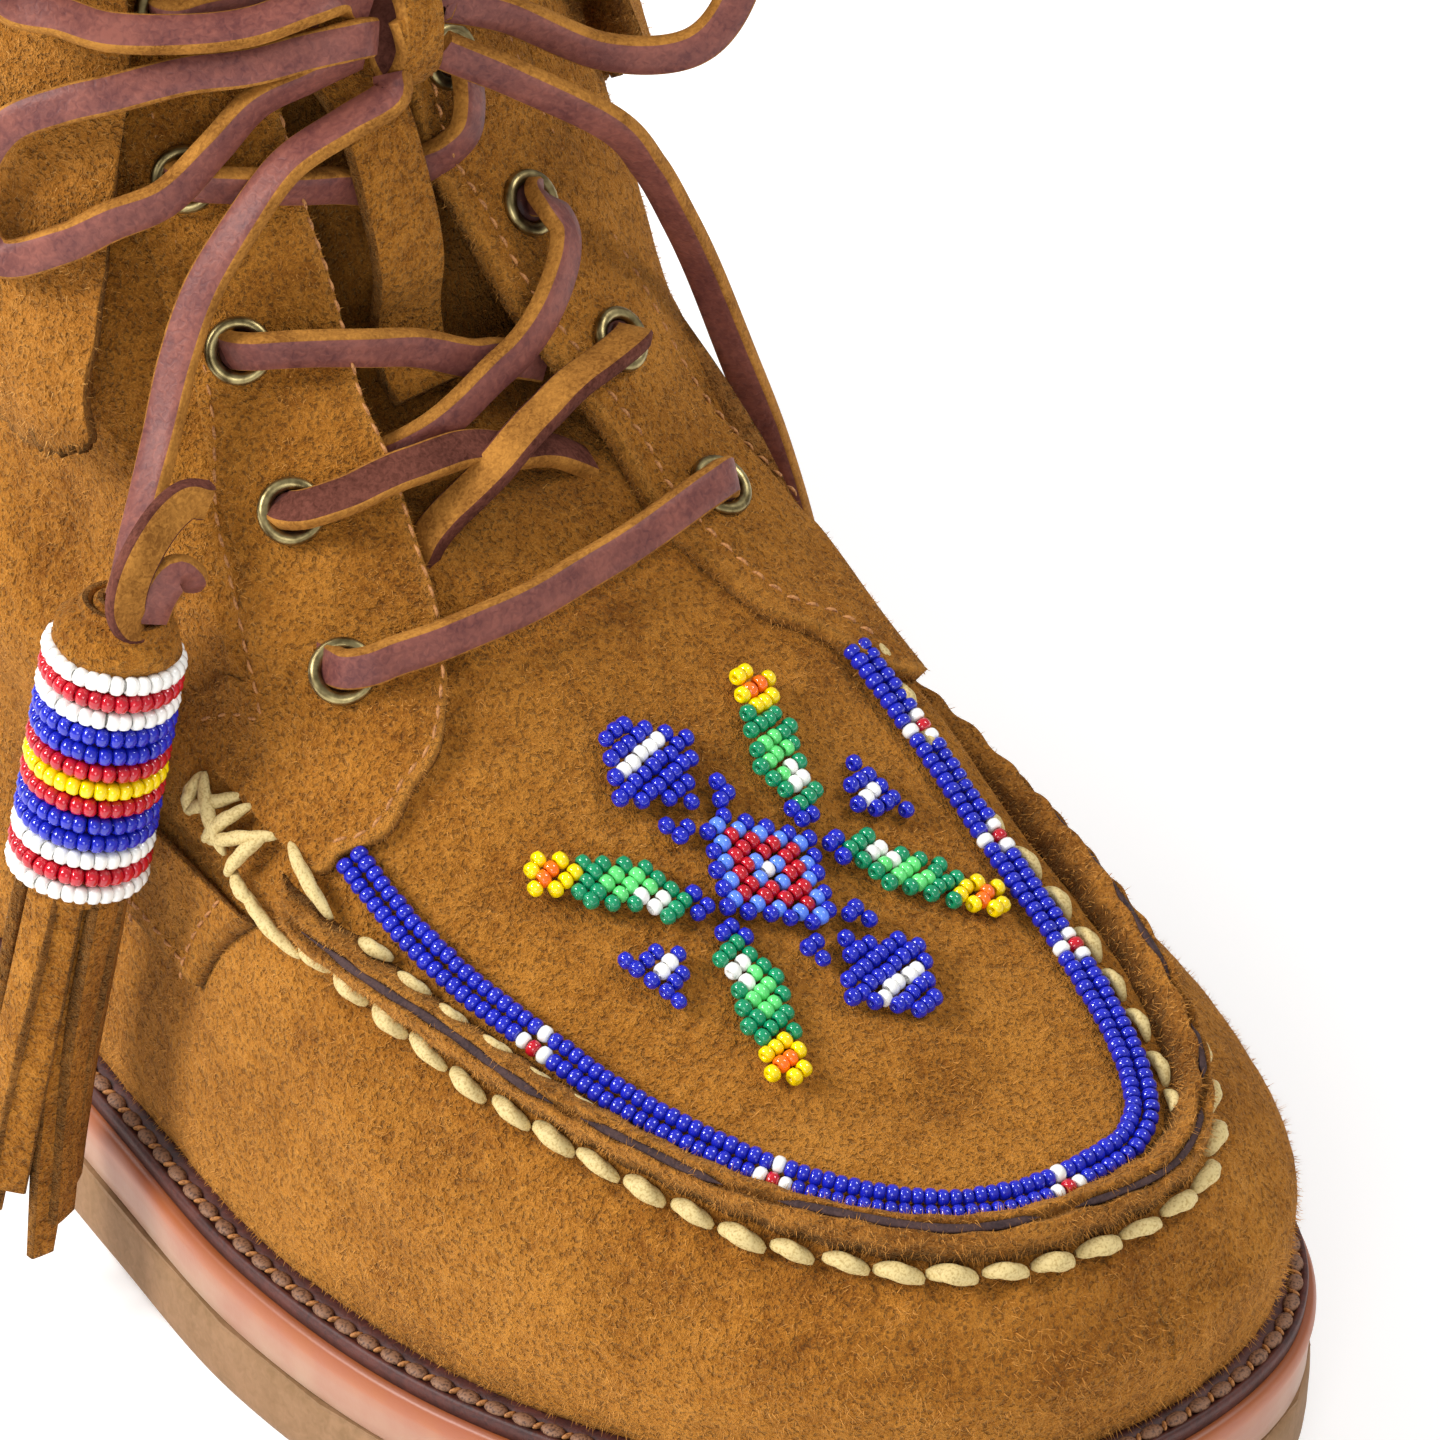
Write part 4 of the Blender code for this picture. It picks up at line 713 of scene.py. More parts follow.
BEAD_COLOURS = {
    "blue": "#1A24B0", "sky": "#5C86F0", "white": "#F2F1EC", "red": "#B81224", "yellow": "#F4D400",
    "emerald": "#0E8A5C", "green": "#62D876", "orange": "#F46E14",
}
BEAD_NAMES = list(BEAD_COLOURS)
SUEDE, CUFF_SUEDE, LACE_GRAIN, THREAD = "#BE7E30", "#BA7C34", "#885044", "#CEB87E"
MADE = {}


def make_materials(sizes):
    MADE["suede"] = suede_material("napped tan suede",
                                   *shades(sizes.suede_colour, SUEDE, "#A46822", "#7A4612"))
    MADE["flap"] = suede_material("light napped tan suede",
                                  *shades(sizes.cuff_colour, CUFF_SUEDE, "#A46824", "#845018"))
    MADE["ridge"] = suede_material("rolled tan suede",
                                   *shades(sizes.suede_colour, SUEDE, "#9A6224", "#6C3E10"))
    MADE["rough"] = suede_material("cut suede edge", "#A87030", "#80501E", "#502E10", 0.40)
    MADE["lace grain"] = leather_material("mauve lace grain",
                                          *shades(sizes.lace_colour, LACE_GRAIN, "#5E3230"),
                                          0.50, 0.8, 0.16, 0.3)
    MADE["lace edge"] = leather_material("golden lace cut edge", "#B27A34", "#744818", 0.85, 0.5, 0.16,
                                         0.15)
    MADE["lace back"] = leather_material("brown lace flesh side", "#6E4034", "#43221A", 0.90, 0.55, 0.20,
                                         0.1)
    MADE["thread"] = thread_material("cream waxed thread",
                                     *shades(sizes.thread_colour, THREAD, "#AE945A"))
    MADE["fine thread"] = thread_material("peach sewing thread", "#B47A44", "#7E4E26")
    MADE["cut line"] = leather_material("dark dyed cut edge", "#4E3A38", "#2E2224", 0.7, 0.5, 0.15, 0.15)
    MADE["brass"] = brass_material("antique brass")
    MADE["welt"] = leather_material("oxblood welt leather", "#55281F", "#301412", 0.55, 0.8, 0.12)
    MADE["welt thread"] = thread_material("brown welt thread", "#866046", "#4A3024")
    MADE["midsole"] = edge_band_material("burnished midsole edge")
    MADE["outsole"] = leather_material("matt tan sole rubber", "#926F4F", "#7F603F", 0.72, 1.2, 0.05, 0.3)
    MADE["insole"] = leather_material("natural insole leather", "#CDA878", "#B8925F", 0.6, 1.0, 0.05)
    MADE["fibres"] = leather_material("tan suede fibres", "#C98E48", "#9A6226", 0.9, 1.6, 0.0, 0.05)
    MADE["flap fibres"] = leather_material("light suede fibres", "#D69E58", "#A87234", 0.9, 1.6, 0.0, 0.05)
    MADE["lining"] = suede_material("suede flesh side", "#A8743A", "#8E5C28", "#6A401A")
    for name, code in BEAD_COLOURS.items():
        colour = sizes.lane_bead_colour[:] if name == "blue" else linear(code)
        MADE[name] = bead_material(f"{name} glass", colour)


# Surface forms


CREASES = [
    # places on the upper, depth mm, width mm
    ([(5.75, -0.60), (5.98, -0.36), (6.08, -0.10), (6.00, 0.16), (5.85, 0.34)], 0.55, 4.6),
    ([(5.30, -0.58), (5.62, -0.30), (5.74, -0.02), (5.60, 0.20)], 0.45, 4.2),
    ([(3.72, -0.50), (3.86, -0.28), (3.92, -0.05), (3.86, 0.14)], 0.5, 3.6),
    ([(2.40, -0.96), (2.05, -0.84), (1.85, -0.70), (1.80, -0.52)], 0.7, 5.2),
    ([(1.50, -0.98), (1.30, -0.86), (1.25, -0.70)], 0.5, 4.0),
    ([(2.10, -0.42), (1.70, -0.30), (1.60, -0.10), (1.70, 0.10)], 0.5, 5.0),
    ([(3.30, -1.14), (4.40, -1.10), (5.60, -1.05)], 0.8, 4.4),
    ([(4.60, -1.00), (5.60, -0.90), (6.60, -0.76)], 0.5, 3.6),
    ([(7.60, -0.62), (8.60, -0.55), (9.60, -0.52)], 0.5, 3.4),
    ([(5.60, 0.62), (6.40, 0.52), (7.20, 0.50)], 0.7, 4.0),
    ([(4.10, -0.88), (4.70, -0.62), (4.90, -0.40)], 0.35, 3.4),
]
STITCH_PITCH = 6.5 * MM


def nearest(points, line):
    """Distance from each point to a curve, and the run along the curve at the nearest place."""
    flat = points.reshape(-1, 3)
    run = run_along(line)
    gap, at = np.empty(len(flat)), np.empty(len(flat))
    for start in range(0, len(flat), 8000):
        part = flat[start:start + 8000]
        far = ((part[:, None] - line[None]) ** 2).sum(-1)
        best = far.argmin(1)
        gap[start:start + 8000] = np.sqrt(far[np.arange(len(part)), best])
        at[start:start + 8000] = run[best]
    return gap.reshape(points.shape[:-1]), at.reshape(points.shape[:-1])


def seam_curve(level, start=SEAM_ENDS[0], count=700):
    turns = np.linspace(start, SEAM_ENDS[1], count)
    return turns, skin(np.full(count, level), turns)


OUTER_ROW_LEVEL = 2.735


def upper_forms(points, levels):
    """Lift of the suede from its creases, stitch puckers and soft unevenness, and its painted shade in the
    stitch channel and the crease troughs.
    """
    lift = noise_field(points, 0.026, 3) * 0.22 * MM + noise_field(points, 0.009, 5) * 0.09 * MM
    lift += noise_field(points, 0.0036, 7) * 0.045 * MM
    shade = np.zeros(points.shape[:-1])
    gap, run = nearest(points, seam_curve(OUTER_ROW_LEVEL)[1])
    wave = np.cos(math.tau * run / STITCH_PITCH)
    below = levels < OUTER_ROW_LEVEL + 0.05
    lift -= 0.55 * MM * np.exp(-(gap / (1.5 * MM)) ** 2)
    lift += np.where(below, 0.30 * MM * wave * np.exp(-gap / (4.2 * MM)), 0.0)
    # Painted shade in the channel that the outer stitch row presses in
    shade += 0.30 * np.exp(-(gap / (1.3 * MM)) ** 2)
    for places, depth, width in CREASES:
        line = smooth_curve(places, 14)
        gap, run = nearest(points, skin(line[:, 0], line[:, 1]))
        ends = np.clip(np.minimum(run, run.max() - run) / (9 * MM), 0, 1)
        trough = np.exp(-(gap / (width * MM)) ** 2)
        lips = np.exp(-((gap / (width * MM) - 1.9) / 0.8) ** 2)
        lift += ease(ends) * depth * MM * (0.4 * lips - trough)
        # Painted shade in the crease's trough
        shade += 0.10 * ease(ends) * trough
    return lift, np.clip(shade, 0, 0.85)


def upper_turns(levels, shares):
    """Turns of a row that runs from the medial throat edge round the heel to the lateral one."""
    lateral = table_value(THROAT, levels, 1)[:, None]
    medial = table_value(THROAT, levels, 2)[:, None]
    turns = medial + shares[None, :] * (4 - medial - lateral)
    return np.where(turns > 2, turns - 4, turns)


def uneven_shares(fine, coarse):
    """Shares round the boot, closer over its front half than its back."""
    front = np.linspace(0, 0.26, fine, endpoint=False)
    back = np.linspace(0.26, 0.74, coarse, endpoint=False)
    return np.r_[front, back, np.linspace(0.74, 1.0, fine)]


def make_upper_skin(sizes):
    levels = np.r_[np.linspace(0, 3, 38, endpoint=False), np.linspace(3, 7, 66, endpoint=False),
                   np.linspace(7, 12, 44)]
    shares = uneven_shares(215, 110)
    turns = upper_turns(levels, shares)
    grid_levels = np.broadcast_to(levels[:, None], turns.shape)
    base = bare_skin(grid_levels, turns)
    lift, shade = upper_forms(base, grid_levels)
    lift = lift * sizes.crease_depth
    near_edge = ease((levels - 6.5) / 0.3)[:, None] * np.exp(-np.minimum(shares, 1 - shares)[None] * 260)
    edge_drop = np.exp(-levels[:, None] / 0.12) + np.exp(-(12 - levels[:, None]) / 0.1)
    lift = np.clip(lift, -1.3 * MM, LAY * 0.9) - 0.4 * MM * near_edge - 0.5 * MM * np.clip(edge_drop, 0, 1)
    grid = skin(grid_levels, turns, lift)
    obj = sheet_mesh("upper_suede", grid, [MADE["suede"]], closed_round=True, attributes={"shade": shade})
    finish_piece(obj, ["upper"])
    turn_check(obj)
    lining_levels = np.linspace(0, 12, 50)
    lining_turns = upper_turns(lining_levels, np.linspace(0, 1, 160))
    lining_grid = np.broadcast_to(lining_levels[:, None], lining_turns.shape)
    inside = skin(lining_grid, lining_turns, -WALL)[:, ::-1]
    lining = sheet_mesh("upper_lining", inside, [MADE["lining"]], closed_round=True)
    finish_piece(lining, ["upper"])
    # The cut edge of the suede round the throat, from its outer face to its lining
    edge_levels = np.r_[np.linspace(6.6, 7.6, 40, endpoint=False), np.linspace(7.6, 12, 60)]
    for side, share in (("lateral", 1.0), ("medial", 0.0)):
        turns = upper_turns(edge_levels, np.array([share]))[:, 0]
        rows = [skin(edge_levels, turns, h * MM) for h in (-0.4, -0.8, -1.4, -2.0)]
        rim = np.stack(rows, 1)
        if side == "medial":
            rim = rim[:, ::-1]
        edge = sheet_mesh(f"throat_edge_{side}", rim, [MADE["rough"]])
        finish_piece(edge, ["upper"])


def turn_check(obj):
    """Turns a sheet's faces outwards if its first built side shows the other way."""
    face = obj.data.polygons[len(obj.data.polygons) // 2]
    away = np.array(face.center) - np.array([0.0, face.center.y * 0.6, 0.06])
    if np.dot(away, np.array(face.normal)) < 0:
        obj.data.flip_normals()


# Welted sole


def outline_run(inset, count=760):
    line = np.vstack([Outline(inset).line, Outline(inset).line[:1]])
    return even(np.column_stack([line, np.zeros(len(line))]), count=count + 1)


def sole_ring(name, profile, material, attributes=None, nodes=()):
    """A closed ring of a sole layer. The profile holds (inset, height over floor) round the section."""
    loops = []
    for inset, height in profile + profile[:1]:
        loop = outline_run(inset)
        loop[:, 2] = sole_height(loop[:, 1], height)
        loops.append(loop)
    values = None
    if attributes:
        values = {key: np.repeat(np.array(row + row[:1])[:, None], len(loops[0]), 1)
                  for key, row in attributes.items()}
    obj = sheet_mesh(name, np.stack(loops), [material], closed_round=True, attributes=values)
    turn_outwards(obj)
    return finish_piece(obj, nodes)


def section_of(rows, level):
    """Rows of an inset and a height over a level, both in millimetres, as a part of a layer's section."""
    return [(inset * MM, level + rise * MM) for inset, rise in rows]


MIDSOLE_LOW, MIDSOLE_HIGH = OUTSOLE_TOP + 0.0001, MIDSOLE_TOP
MIDSOLE_SECTION = section_of([(14, 0), (0.7, 0), (0.35, 0.5), (0.30, 2.5)], MIDSOLE_LOW) + section_of(
    [(0.20, -4.0), (0.12, -3.0), (-0.02, -2.5), (-0.15, -1.8), (-0.12, -1.1), (0.12, -0.4), (0.45, -0.05),
     (1.1, 0.05), (3.0, 0), (14, 0)], MIDSOLE_HIGH)
# How far each point of the midsole's section is into its burnished rim
MIDSOLE_BAND = [0.0, 0.0, 0.05, 0.3, 0.58, 0.66, 0.78, 0.86, 0.92, 0.96, 1.0, 1.0, 1.0, 1.0]
OUTSOLE_SECTION = section_of([(11.2, 0.4), (1.7, 0.35), (0.5, 0.9), (0.0, 2.0), (-0.12, 4.0), (-0.12, 8.0)],
                             0.0) + section_of([(-0.05, -1.0), (0.3, -0.25), (1.0, 0), (11.2, 0)],
                                               OUTSOLE_TOP)
WELT_SECTION = section_of([(13, 0.1), (1.1, 0.1)], MIDSOLE_TOP) + section_of(
    [(1.0, -0.5), (1.2, 0), (1.7, 0.05), (2.0, -0.35), (3.3, -0.35), (3.6, 0.1), (5.2, 0.2), (13, 0.1)],
    SOLE_TOP)
WELT_GROOVE = 2.65 * MM
# Half length, half width and half height of a welt stitch in millimetres
WELT_STITCH = (1.62, 1.05, 0.62)


def make_sole(sizes):
    sole_ring("midsole_edge", MIDSOLE_SECTION, MADE["midsole"], {"band": MIDSOLE_BAND},
              ["midsole"])
    sole_ring("outsole_side", OUTSOLE_SECTION, MADE["outsole"], None)
    sole_ring("welt_strip", WELT_SECTION, MADE["welt"], None, ["welt"])
    line = outline_run(WELT_GROOVE, 2400)
    places = even(line, sizes.welt_stitch_pitch)[:-1]
    places[:, 2] = sole_height(places[:, 1], SOLE_TOP + 0.12 * MM)
    along = unit(np.roll(places, -1, 0) - np.roll(places, 1, 0))
    up = np.tile([0.0, 0.0, 1.0], (len(places), 1))
    frames = frames_on(places, along, up)
    stitch_points, stitch_faces = ball_form(12, 6)
    for axis, size in enumerate(WELT_STITCH, 1):
        frames[:, axis] *= size * MM
    stitches = scatter("welt_stitches", stitch_points, stitch_faces, frames, [MADE["welt thread"]])
    finish_piece(stitches)
    # Short slanted ticks where each lock stitch comes up between its neighbours
    ticks = frames.copy()
    ticks[:, 0] += along * sizes.welt_stitch_pitch / 2 + up * 0.02 * MM
    slant = unit(frames[:, 1]) * 0.55 + unit(frames[:, 2])
    ticks[:, 1] = unit(slant) * 0.85 * MM
    ticks[:, 2] = unit(np.cross(up, ticks[:, 1])) * 0.30 * MM
    ticks[:, 3] = up * 0.38 * MM
    finish_piece(scatter("welt_stitch_ticks", stitch_points, stitch_faces, ticks, [MADE["fine thread"]]))
    for name, kind in (("outsole", "outsole"), ("insole", "insole"), ("backstay", "suede")):
        bpy.data.objects[name].material_slots[0].material = MADE[kind]


def ball_form(steps, rings):
    """Points and faces of a round ball made by a bmesh operator."""
    work = bmesh.new()
    bmesh.ops.create_uvsphere(work, u_segments=steps, v_segments=rings, radius=1.0)
    return lists_of(work)


# Moccasin seam, its stitches and the patches


def make_seam(sizes):
    count = 760
    turns, centre = seam_curve(3.0, start=ROLL_START, count=count)
    out, up = skin_axes(np.full(count, 3.0), turns)[:2]
    run = run_along(centre)
    ends = np.clip(np.minimum(run, run[-1] - run) / (7 * MM), 0, 1) ** 0.6
    pucker = np.cos(math.tau * run / STITCH_PITCH)
    wander = 0.35 * MM * np.sin(run / (11 * MM)) + 0.25 * MM * np.sin(run / (4.1 * MM) + 1)
    across = np.linspace(-1, 1, 31)
    rows, shade = [], []
    half = 3.15 * MM * (0.93 + 0.07 * pucker)
    centre = centre + up * 0.45 * MM
    for s in across:
        side = s * half
        body = np.sqrt(np.maximum(0.0, 1 - np.abs(s) ** 2.3))
        height = 4.3 * MM * ends * body * (1 - 0.07 * pucker)
        middle = (side - wander) / (0.62 * MM)
        groove = np.exp(-middle ** 2)
        lips = np.exp(-((np.abs(middle) - 1.9) / 1.0) ** 2)
        height = height - ends * (1.15 * MM * groove - 0.30 * MM * lips)
        height += 0.10 * MM * noise_field(centre + up * side[:, None], 0.005, 11)
        rows.append(centre + up * side[:, None] + out * (height + 0.25 * MM * body)[:, None])
        shade.append(0.55 * groove * ends + 0.85 * ease((abs(s) - 0.72) / 0.28))
    obj = sheet_mesh("seam_roll", np.stack(rows, 1), [MADE["ridge"]],
                     attributes={"shade": np.stack(shade, 1)})
    turn_up(obj, centre.mean(0))
    finish_piece(obj, ["seam_ridge"])
    rng = np.random.default_rng(21)
    runs = [(0.03, 0.20), (0.215, 0.30), (0.33, 0.47), (0.49, 0.60), (0.62, 0.66), (0.69, 0.83),
            (0.85, 0.96)]
    for k, (first, last) in enumerate(runs):
        pick_run = (run / run[-1] > first) & (run / run[-1] < last)
        path = (centre + up * wander[:, None] + out * (3.95 * MM * ends)[:, None])[pick_run]
        fade = np.clip(np.minimum(np.arange(len(path)), np.arange(len(path))[::-1]) / 9, 0.15, 1)
        line = strip_sweep(f"seam_cut_edge_{k + 1}", path, out[pick_run], 0.50 * MM, 0.45 * MM,
                           [MADE["cut line"]] * 3, taper=fade * rng.uniform(0.8, 1.1))
        finish_piece(line)
    make_stitch_rows()


def turn_up(obj, centre):
    """Turns faces away from a point under the sheet."""
    centre = np.asarray(centre) - np.array([0, 0, 0.02])
    sample = list(obj.data.polygons)[::37]
    votes = sum(np.dot(np.array(face.center) - centre, np.array(face.normal)) > 0 for face in sample)
    if votes * 2 < len(sample):
        obj.data.flip_normals()


INNER_NEAR = [(3.24, -0.970), (3.22, -0.940), (3.14, -0.875), (3.09, -0.765), (3.07, -0.665),
              (3.06, -0.560)]
INNER_FAR = [(3.10, 0.060), (3.12, 0.150), (3.17, 0.230), (3.34, 0.322), (3.62, 0.400), (3.96, 0.448),
             (4.42, 0.448), (4.86, 0.440), (5.08, 0.478), (5.34, 0.530)]
CROSS_STITCHES = [
    # from and to: level, turn, lift mm
    ((3.06, -1.036, 1.5), (3.40, -1.032, 1.8)), ((3.42, -1.030, 1.8), (3.05, -1.020, 2.6)),
    ((3.08, -1.036, 1.8), (3.50, -1.016, 1.8)), ((3.02, -1.027, 2.4), (3.50, -1.012, 2.2)),
    ((3.04, -1.025, 2.2), (3.46, -1.004, 2.2)), ((2.94, -1.017, 2.4), (3.42, -1.006, 2.8)),
    ((2.96, -1.016, 1.8), (2.86, -1.008, 2.0)), ((3.52, -1.000, 1.6), (3.24, -0.984, 3.2)),
    ((2.90, -1.012, 2.2), (2.76, -0.998, 1.8)),
]


def stitch_frames(points, out, pitch, length, thick, slant=0.0):
    """Frames for stitches evenly along a curve, with X as long as the stitch."""
    run = run_along(points)
    count = max(2, int(run[-1] / pitch))
    at = (np.arange(count) + 0.5) * run[-1] / count
    centre, normal = pick(points, run, at), unit(pick(out, run, at))
    reach = length / 2
    along = (pick(points, run, np.minimum(at + reach, run[-1]))
             - pick(points, run, np.maximum(at - reach, 0)))
    frames = frames_on(centre, along, normal)
    turned = frames[:, 1] * math.cos(slant) + frames[:, 2] * math.sin(slant)
    frames[:, 2] = np.cross(frames[:, 3], turned) * thick
    frames[:, 1] = turned * length
    frames[:, 3] *= thick
    return frames


def make_stitch_rows():
    form = grain_stitch()
    turns = np.linspace(-1.0, 0.985, 600)
    levels = np.interp(turns, [-1.0, -0.95, -0.84, -0.6, 0.1, 0.3, 1.0],
                       [2.86, 2.80, 2.745, 2.735, 2.76, 2.80, 2.72])
    rows = [stitch_frames(skin(levels, turns, 0.95 * MM), skin_axes(levels, turns)[0],
                          STITCH_PITCH * 0.94, 6.0 * MM, 2.3 * MM, -0.14)]
    for table, lift in ((INNER_NEAR, 2.0), (INNER_FAR, 1.0)):
        line = smooth_curve(table, 30)
        rows.append(stitch_frames(skin(line[:, 0], line[:, 1], lift * MM),
                                  skin_axes(line[:, 0], line[:, 1])[0], 5.9 * MM, 5.4 * MM, 1.9 * MM, 0.15))
    rng = np.random.default_rng(4)
    frames = np.vstack(rows)
    frames[:, 2:] *= rng.uniform(0.88, 1.12, (len(frames), 1, 1))
    frames[:, 1] *= rng.uniform(0.90, 1.05, (len(frames), 1))
    frames[:, 0] += rng.normal(0, 0.12 * MM, (len(frames), 3))
    finish_piece(scatter("seam_stitches", *form, frames, [MADE["thread"]]))
    cross = []
    for first, last in CROSS_STITCHES:
        a, b = [skin(np.array([p[0]]), np.array([p[1]]), np.array([p[2] * MM]))[0] for p in (first, last)]
        out = skin_axes(np.array([(first[0] + last[0]) / 2]), np.array([(first[1] + last[1]) / 2]))[0]
        frame = frames_on(np.array([(a + b) / 2]), np.array([b - a]), out)[0]
        frame[1] *= np.linalg.norm(b - a) * 1.08
        frame[2:] *= 1.9 * MM
        cross.append(frame)
    finish_piece(scatter("cross_stitches", *grain_stitch(1.0, 18), np.array(cross),
                         [MADE["thread"]]))


def overlay_grid(table, rows, cols, lift_of):
    """Points of a leather overlay between its front and rear edges, with its levels and turns."""
    line = smooth_curve(table, 12)
    run = run_along(skin(line[:, 0], line[:, 1]))
    four = pick(line, run, np.linspace(0, run[-1], rows))
    share = np.linspace(0, 1, cols)[None, :]
    levels = four[:, :1] + (four[:, 2:3] - four[:, :1]) * share
    turns = four[:, 1:2] + (four[:, 3:4] - four[:, 1:2]) * share
    along = np.linspace(0, run[-1], rows)[:, None]
    return skin(levels, turns, lift_of(share, along, run[-1])), levels, turns


def make_facings(sizes):
    for side in FACING:
        def lift_of(share, along, length):
            body = 0.35 + 1.85 * np.clip(1 - share, 0, 1) ** 0.7
            edge = np.clip(share / 0.022, 0, 1) ** 0.35
            swell = 0.10 * np.sin(along / (8 * MM)) + 0.07 * np.sin(along / (3.3 * MM))
            return (body * edge + swell * edge + 0.12) * MM
        grid, levels, turns = overlay_grid(FACING[side], 320, 46, lift_of)
        front, step = grid[:, 0], unit(grid[:, 2] - grid[:, 0])
        line = front + step * 3.6 * MM
        gap = nearest(grid, line)[0]
        out = skin_axes(levels, turns)[0]
        grid = grid - out * (0.38 * MM * np.exp(-(gap / (0.9 * MM)) ** 2))[..., None]
        # Painted shade in the stitch channel and along the front edge
        shade = 0.32 * np.exp(-(gap / (0.7 * MM)) ** 2)
        edge_gap = np.linalg.norm(grid - grid[:, :1], axis=-1)
        shade = shade + 0.30 * np.exp(-(edge_gap / (0.8 * MM)) ** 2)
        # A painted highlight on the raised band between the front edge and the stitch channel
        edge_highlight = 0.35 * np.exp(-((edge_gap - 1.8 * MM) / (0.7 * MM)) ** 2)
        obj = sheet_mesh(f"facing_suede_{side}", grid, [MADE["suede"], MADE["rough"]],
                         attributes={"shade": np.clip(shade, 0, 1), "edge_highlight": edge_highlight})
        turn_check(obj)
        thicken(obj, 0.9 * MM, 1)
        finish_piece(obj, [f"facing_{side}"])
        normals = out[:, 0]
        stop = (levels[:, 0] > FRONT_ROW_ENDS[side]) & (levels[:, 0] < 11.5)
        rows = [stitch_frames((line + normals * 1.35 * MM)[stop], normals[stop], 2.5 * MM, 1.75 * MM,
                              0.50 * MM, 0.10)]
        rear = pick_rear_line(side)
        rows.append(stitch_frames(rear[0] + rear[1] * 0.75 * MM, rear[1], 2.5 * MM, 1.7 * MM, 0.45 * MM,
                                  0.1))
        finish_piece(scatter(f"facing_stitches_{side}", *grain_stitch(1.0, 6, 6), np.vstack(rows),
                             [MADE["fine thread"]]))


FRONT_ROW_ENDS = {"lateral": 3.75, "medial": 5.5}
REAR_STITCHES = {
    "lateral": [(11.5, -0.395), (10.3, -0.40), (9.5, -0.432), (8.88, -0.455), (8.0, -0.52),
                (7.32, -0.600), (6.3, -0.76), (5.08, -0.940), (4.20, -1.005), (3.72, -1.035)],
    "medial": [(11.5, 0.26), (10.0, 0.25), (9.0, 0.285), (8.0, 0.37), (7.2, 0.455), (6.4, 0.56),
               (5.6, 0.70)],
}


def pick_rear_line(side):
    line = smooth_curve(REAR_STITCHES[side], 20)
    return skin(line[:, 0], line[:, 1]), skin_axes(line[:, 0], line[:, 1])[0]


PATCH = {
    "lateral": [(2.66, -1.008, 2.72, -1.072), (2.20, -1.014, 2.22, -1.066), (1.76, -1.020, 1.72, -1.060)],
    "medial": [(2.66, 1.008, 2.72, 1.072), (2.20, 1.014, 2.22, 1.066), (1.76, 1.020, 1.72, 1.060)],
}


def make_patches(sizes):
    for side, table in PATCH.items():
        def lift_of(share, along, length):
            edges = np.minimum(np.minimum(share, 1 - share) / 0.05, (length - along) / (0.6 * MM))
            return (0.45 + 1.55 * np.clip(edges, 0, 1) ** 0.4) * MM
        grid, levels, turns = overlay_grid(table, 40, 40, lift_of)
        border = np.zeros(grid.shape[:2])
        border[:, :3] = border[:, -3:] = border[-3:] = 0.30
        border[:, :1] = border[:, -1:] = border[-1:] = 0.75
        obj = sheet_mesh(f"patch_suede_{side}", grid, [MADE["suede"], MADE["rough"]],
                         attributes={"shade": border})
        turn_check(obj)
        thicken(obj, 0.8 * MM, 1)
        finish_piece(obj, [f"patch_{side}"])
        out = skin_axes(levels, turns)[0]
        rows = []
        for picked in ((slice(None), 6), (slice(None), -7), (-7, slice(6, -6))):
            points, normals = grid[picked], out[picked]
            rows.append(stitch_frames(points + normals * 0.1 * MM, normals, 2.3 * MM, 1.7 * MM, 0.5 * MM))
        finish_piece(scatter(f"patch_stitches_{side}", *grain_stitch(1.0, 6, 6), np.vstack(rows),
                             [MADE["fine thread"]]))


# Tongue, keeper and cuff


TONGUE_FORM = [
    # level, half width in turns, how far the middle sinks as a share
    (6.2, 0.36, 0.00), (6.6, 0.38, 0.20), (7.0, 0.42, 0.65), (7.5, 0.46, 1.00), (8.4, 0.48, 1.00),
    (9.2, 0.46, 0.40), (10.0, 0.42, 0.12), (11.0, 0.36, 0.20), (12.0, 0.29, 0.30)]
TONGUE_SINK = 6.5 * MM


def tongue_points(levels, share, lift=0.0):
    """The tongue runs on from the vamp without a step, then sinks between the facings."""
    sink = table_value(TONGUE_FORM, levels, 2) * ease((levels - 7.1) / 1.3)
    drop = -(WALL + 0.6 * MM) * ease((levels - 7.0) / 1.0) - TONGUE_SINK * sink * (1 - share * share)
    turns = share * table_value(TONGUE_FORM, levels, 1) - 0.03
    return skin(levels, turns, drop + lift)


KEEPER_ARCH = [(8.20, 0.00), (8.45, 0.02), (8.70, 0.30), (8.95, 0.85), (9.30, 1.00), (9.70, 1.00),
               (9.95, 0.80), (10.15, 0.30), (10.24, 0.02)]
KEEPER_ROOM = 6.6 * MM


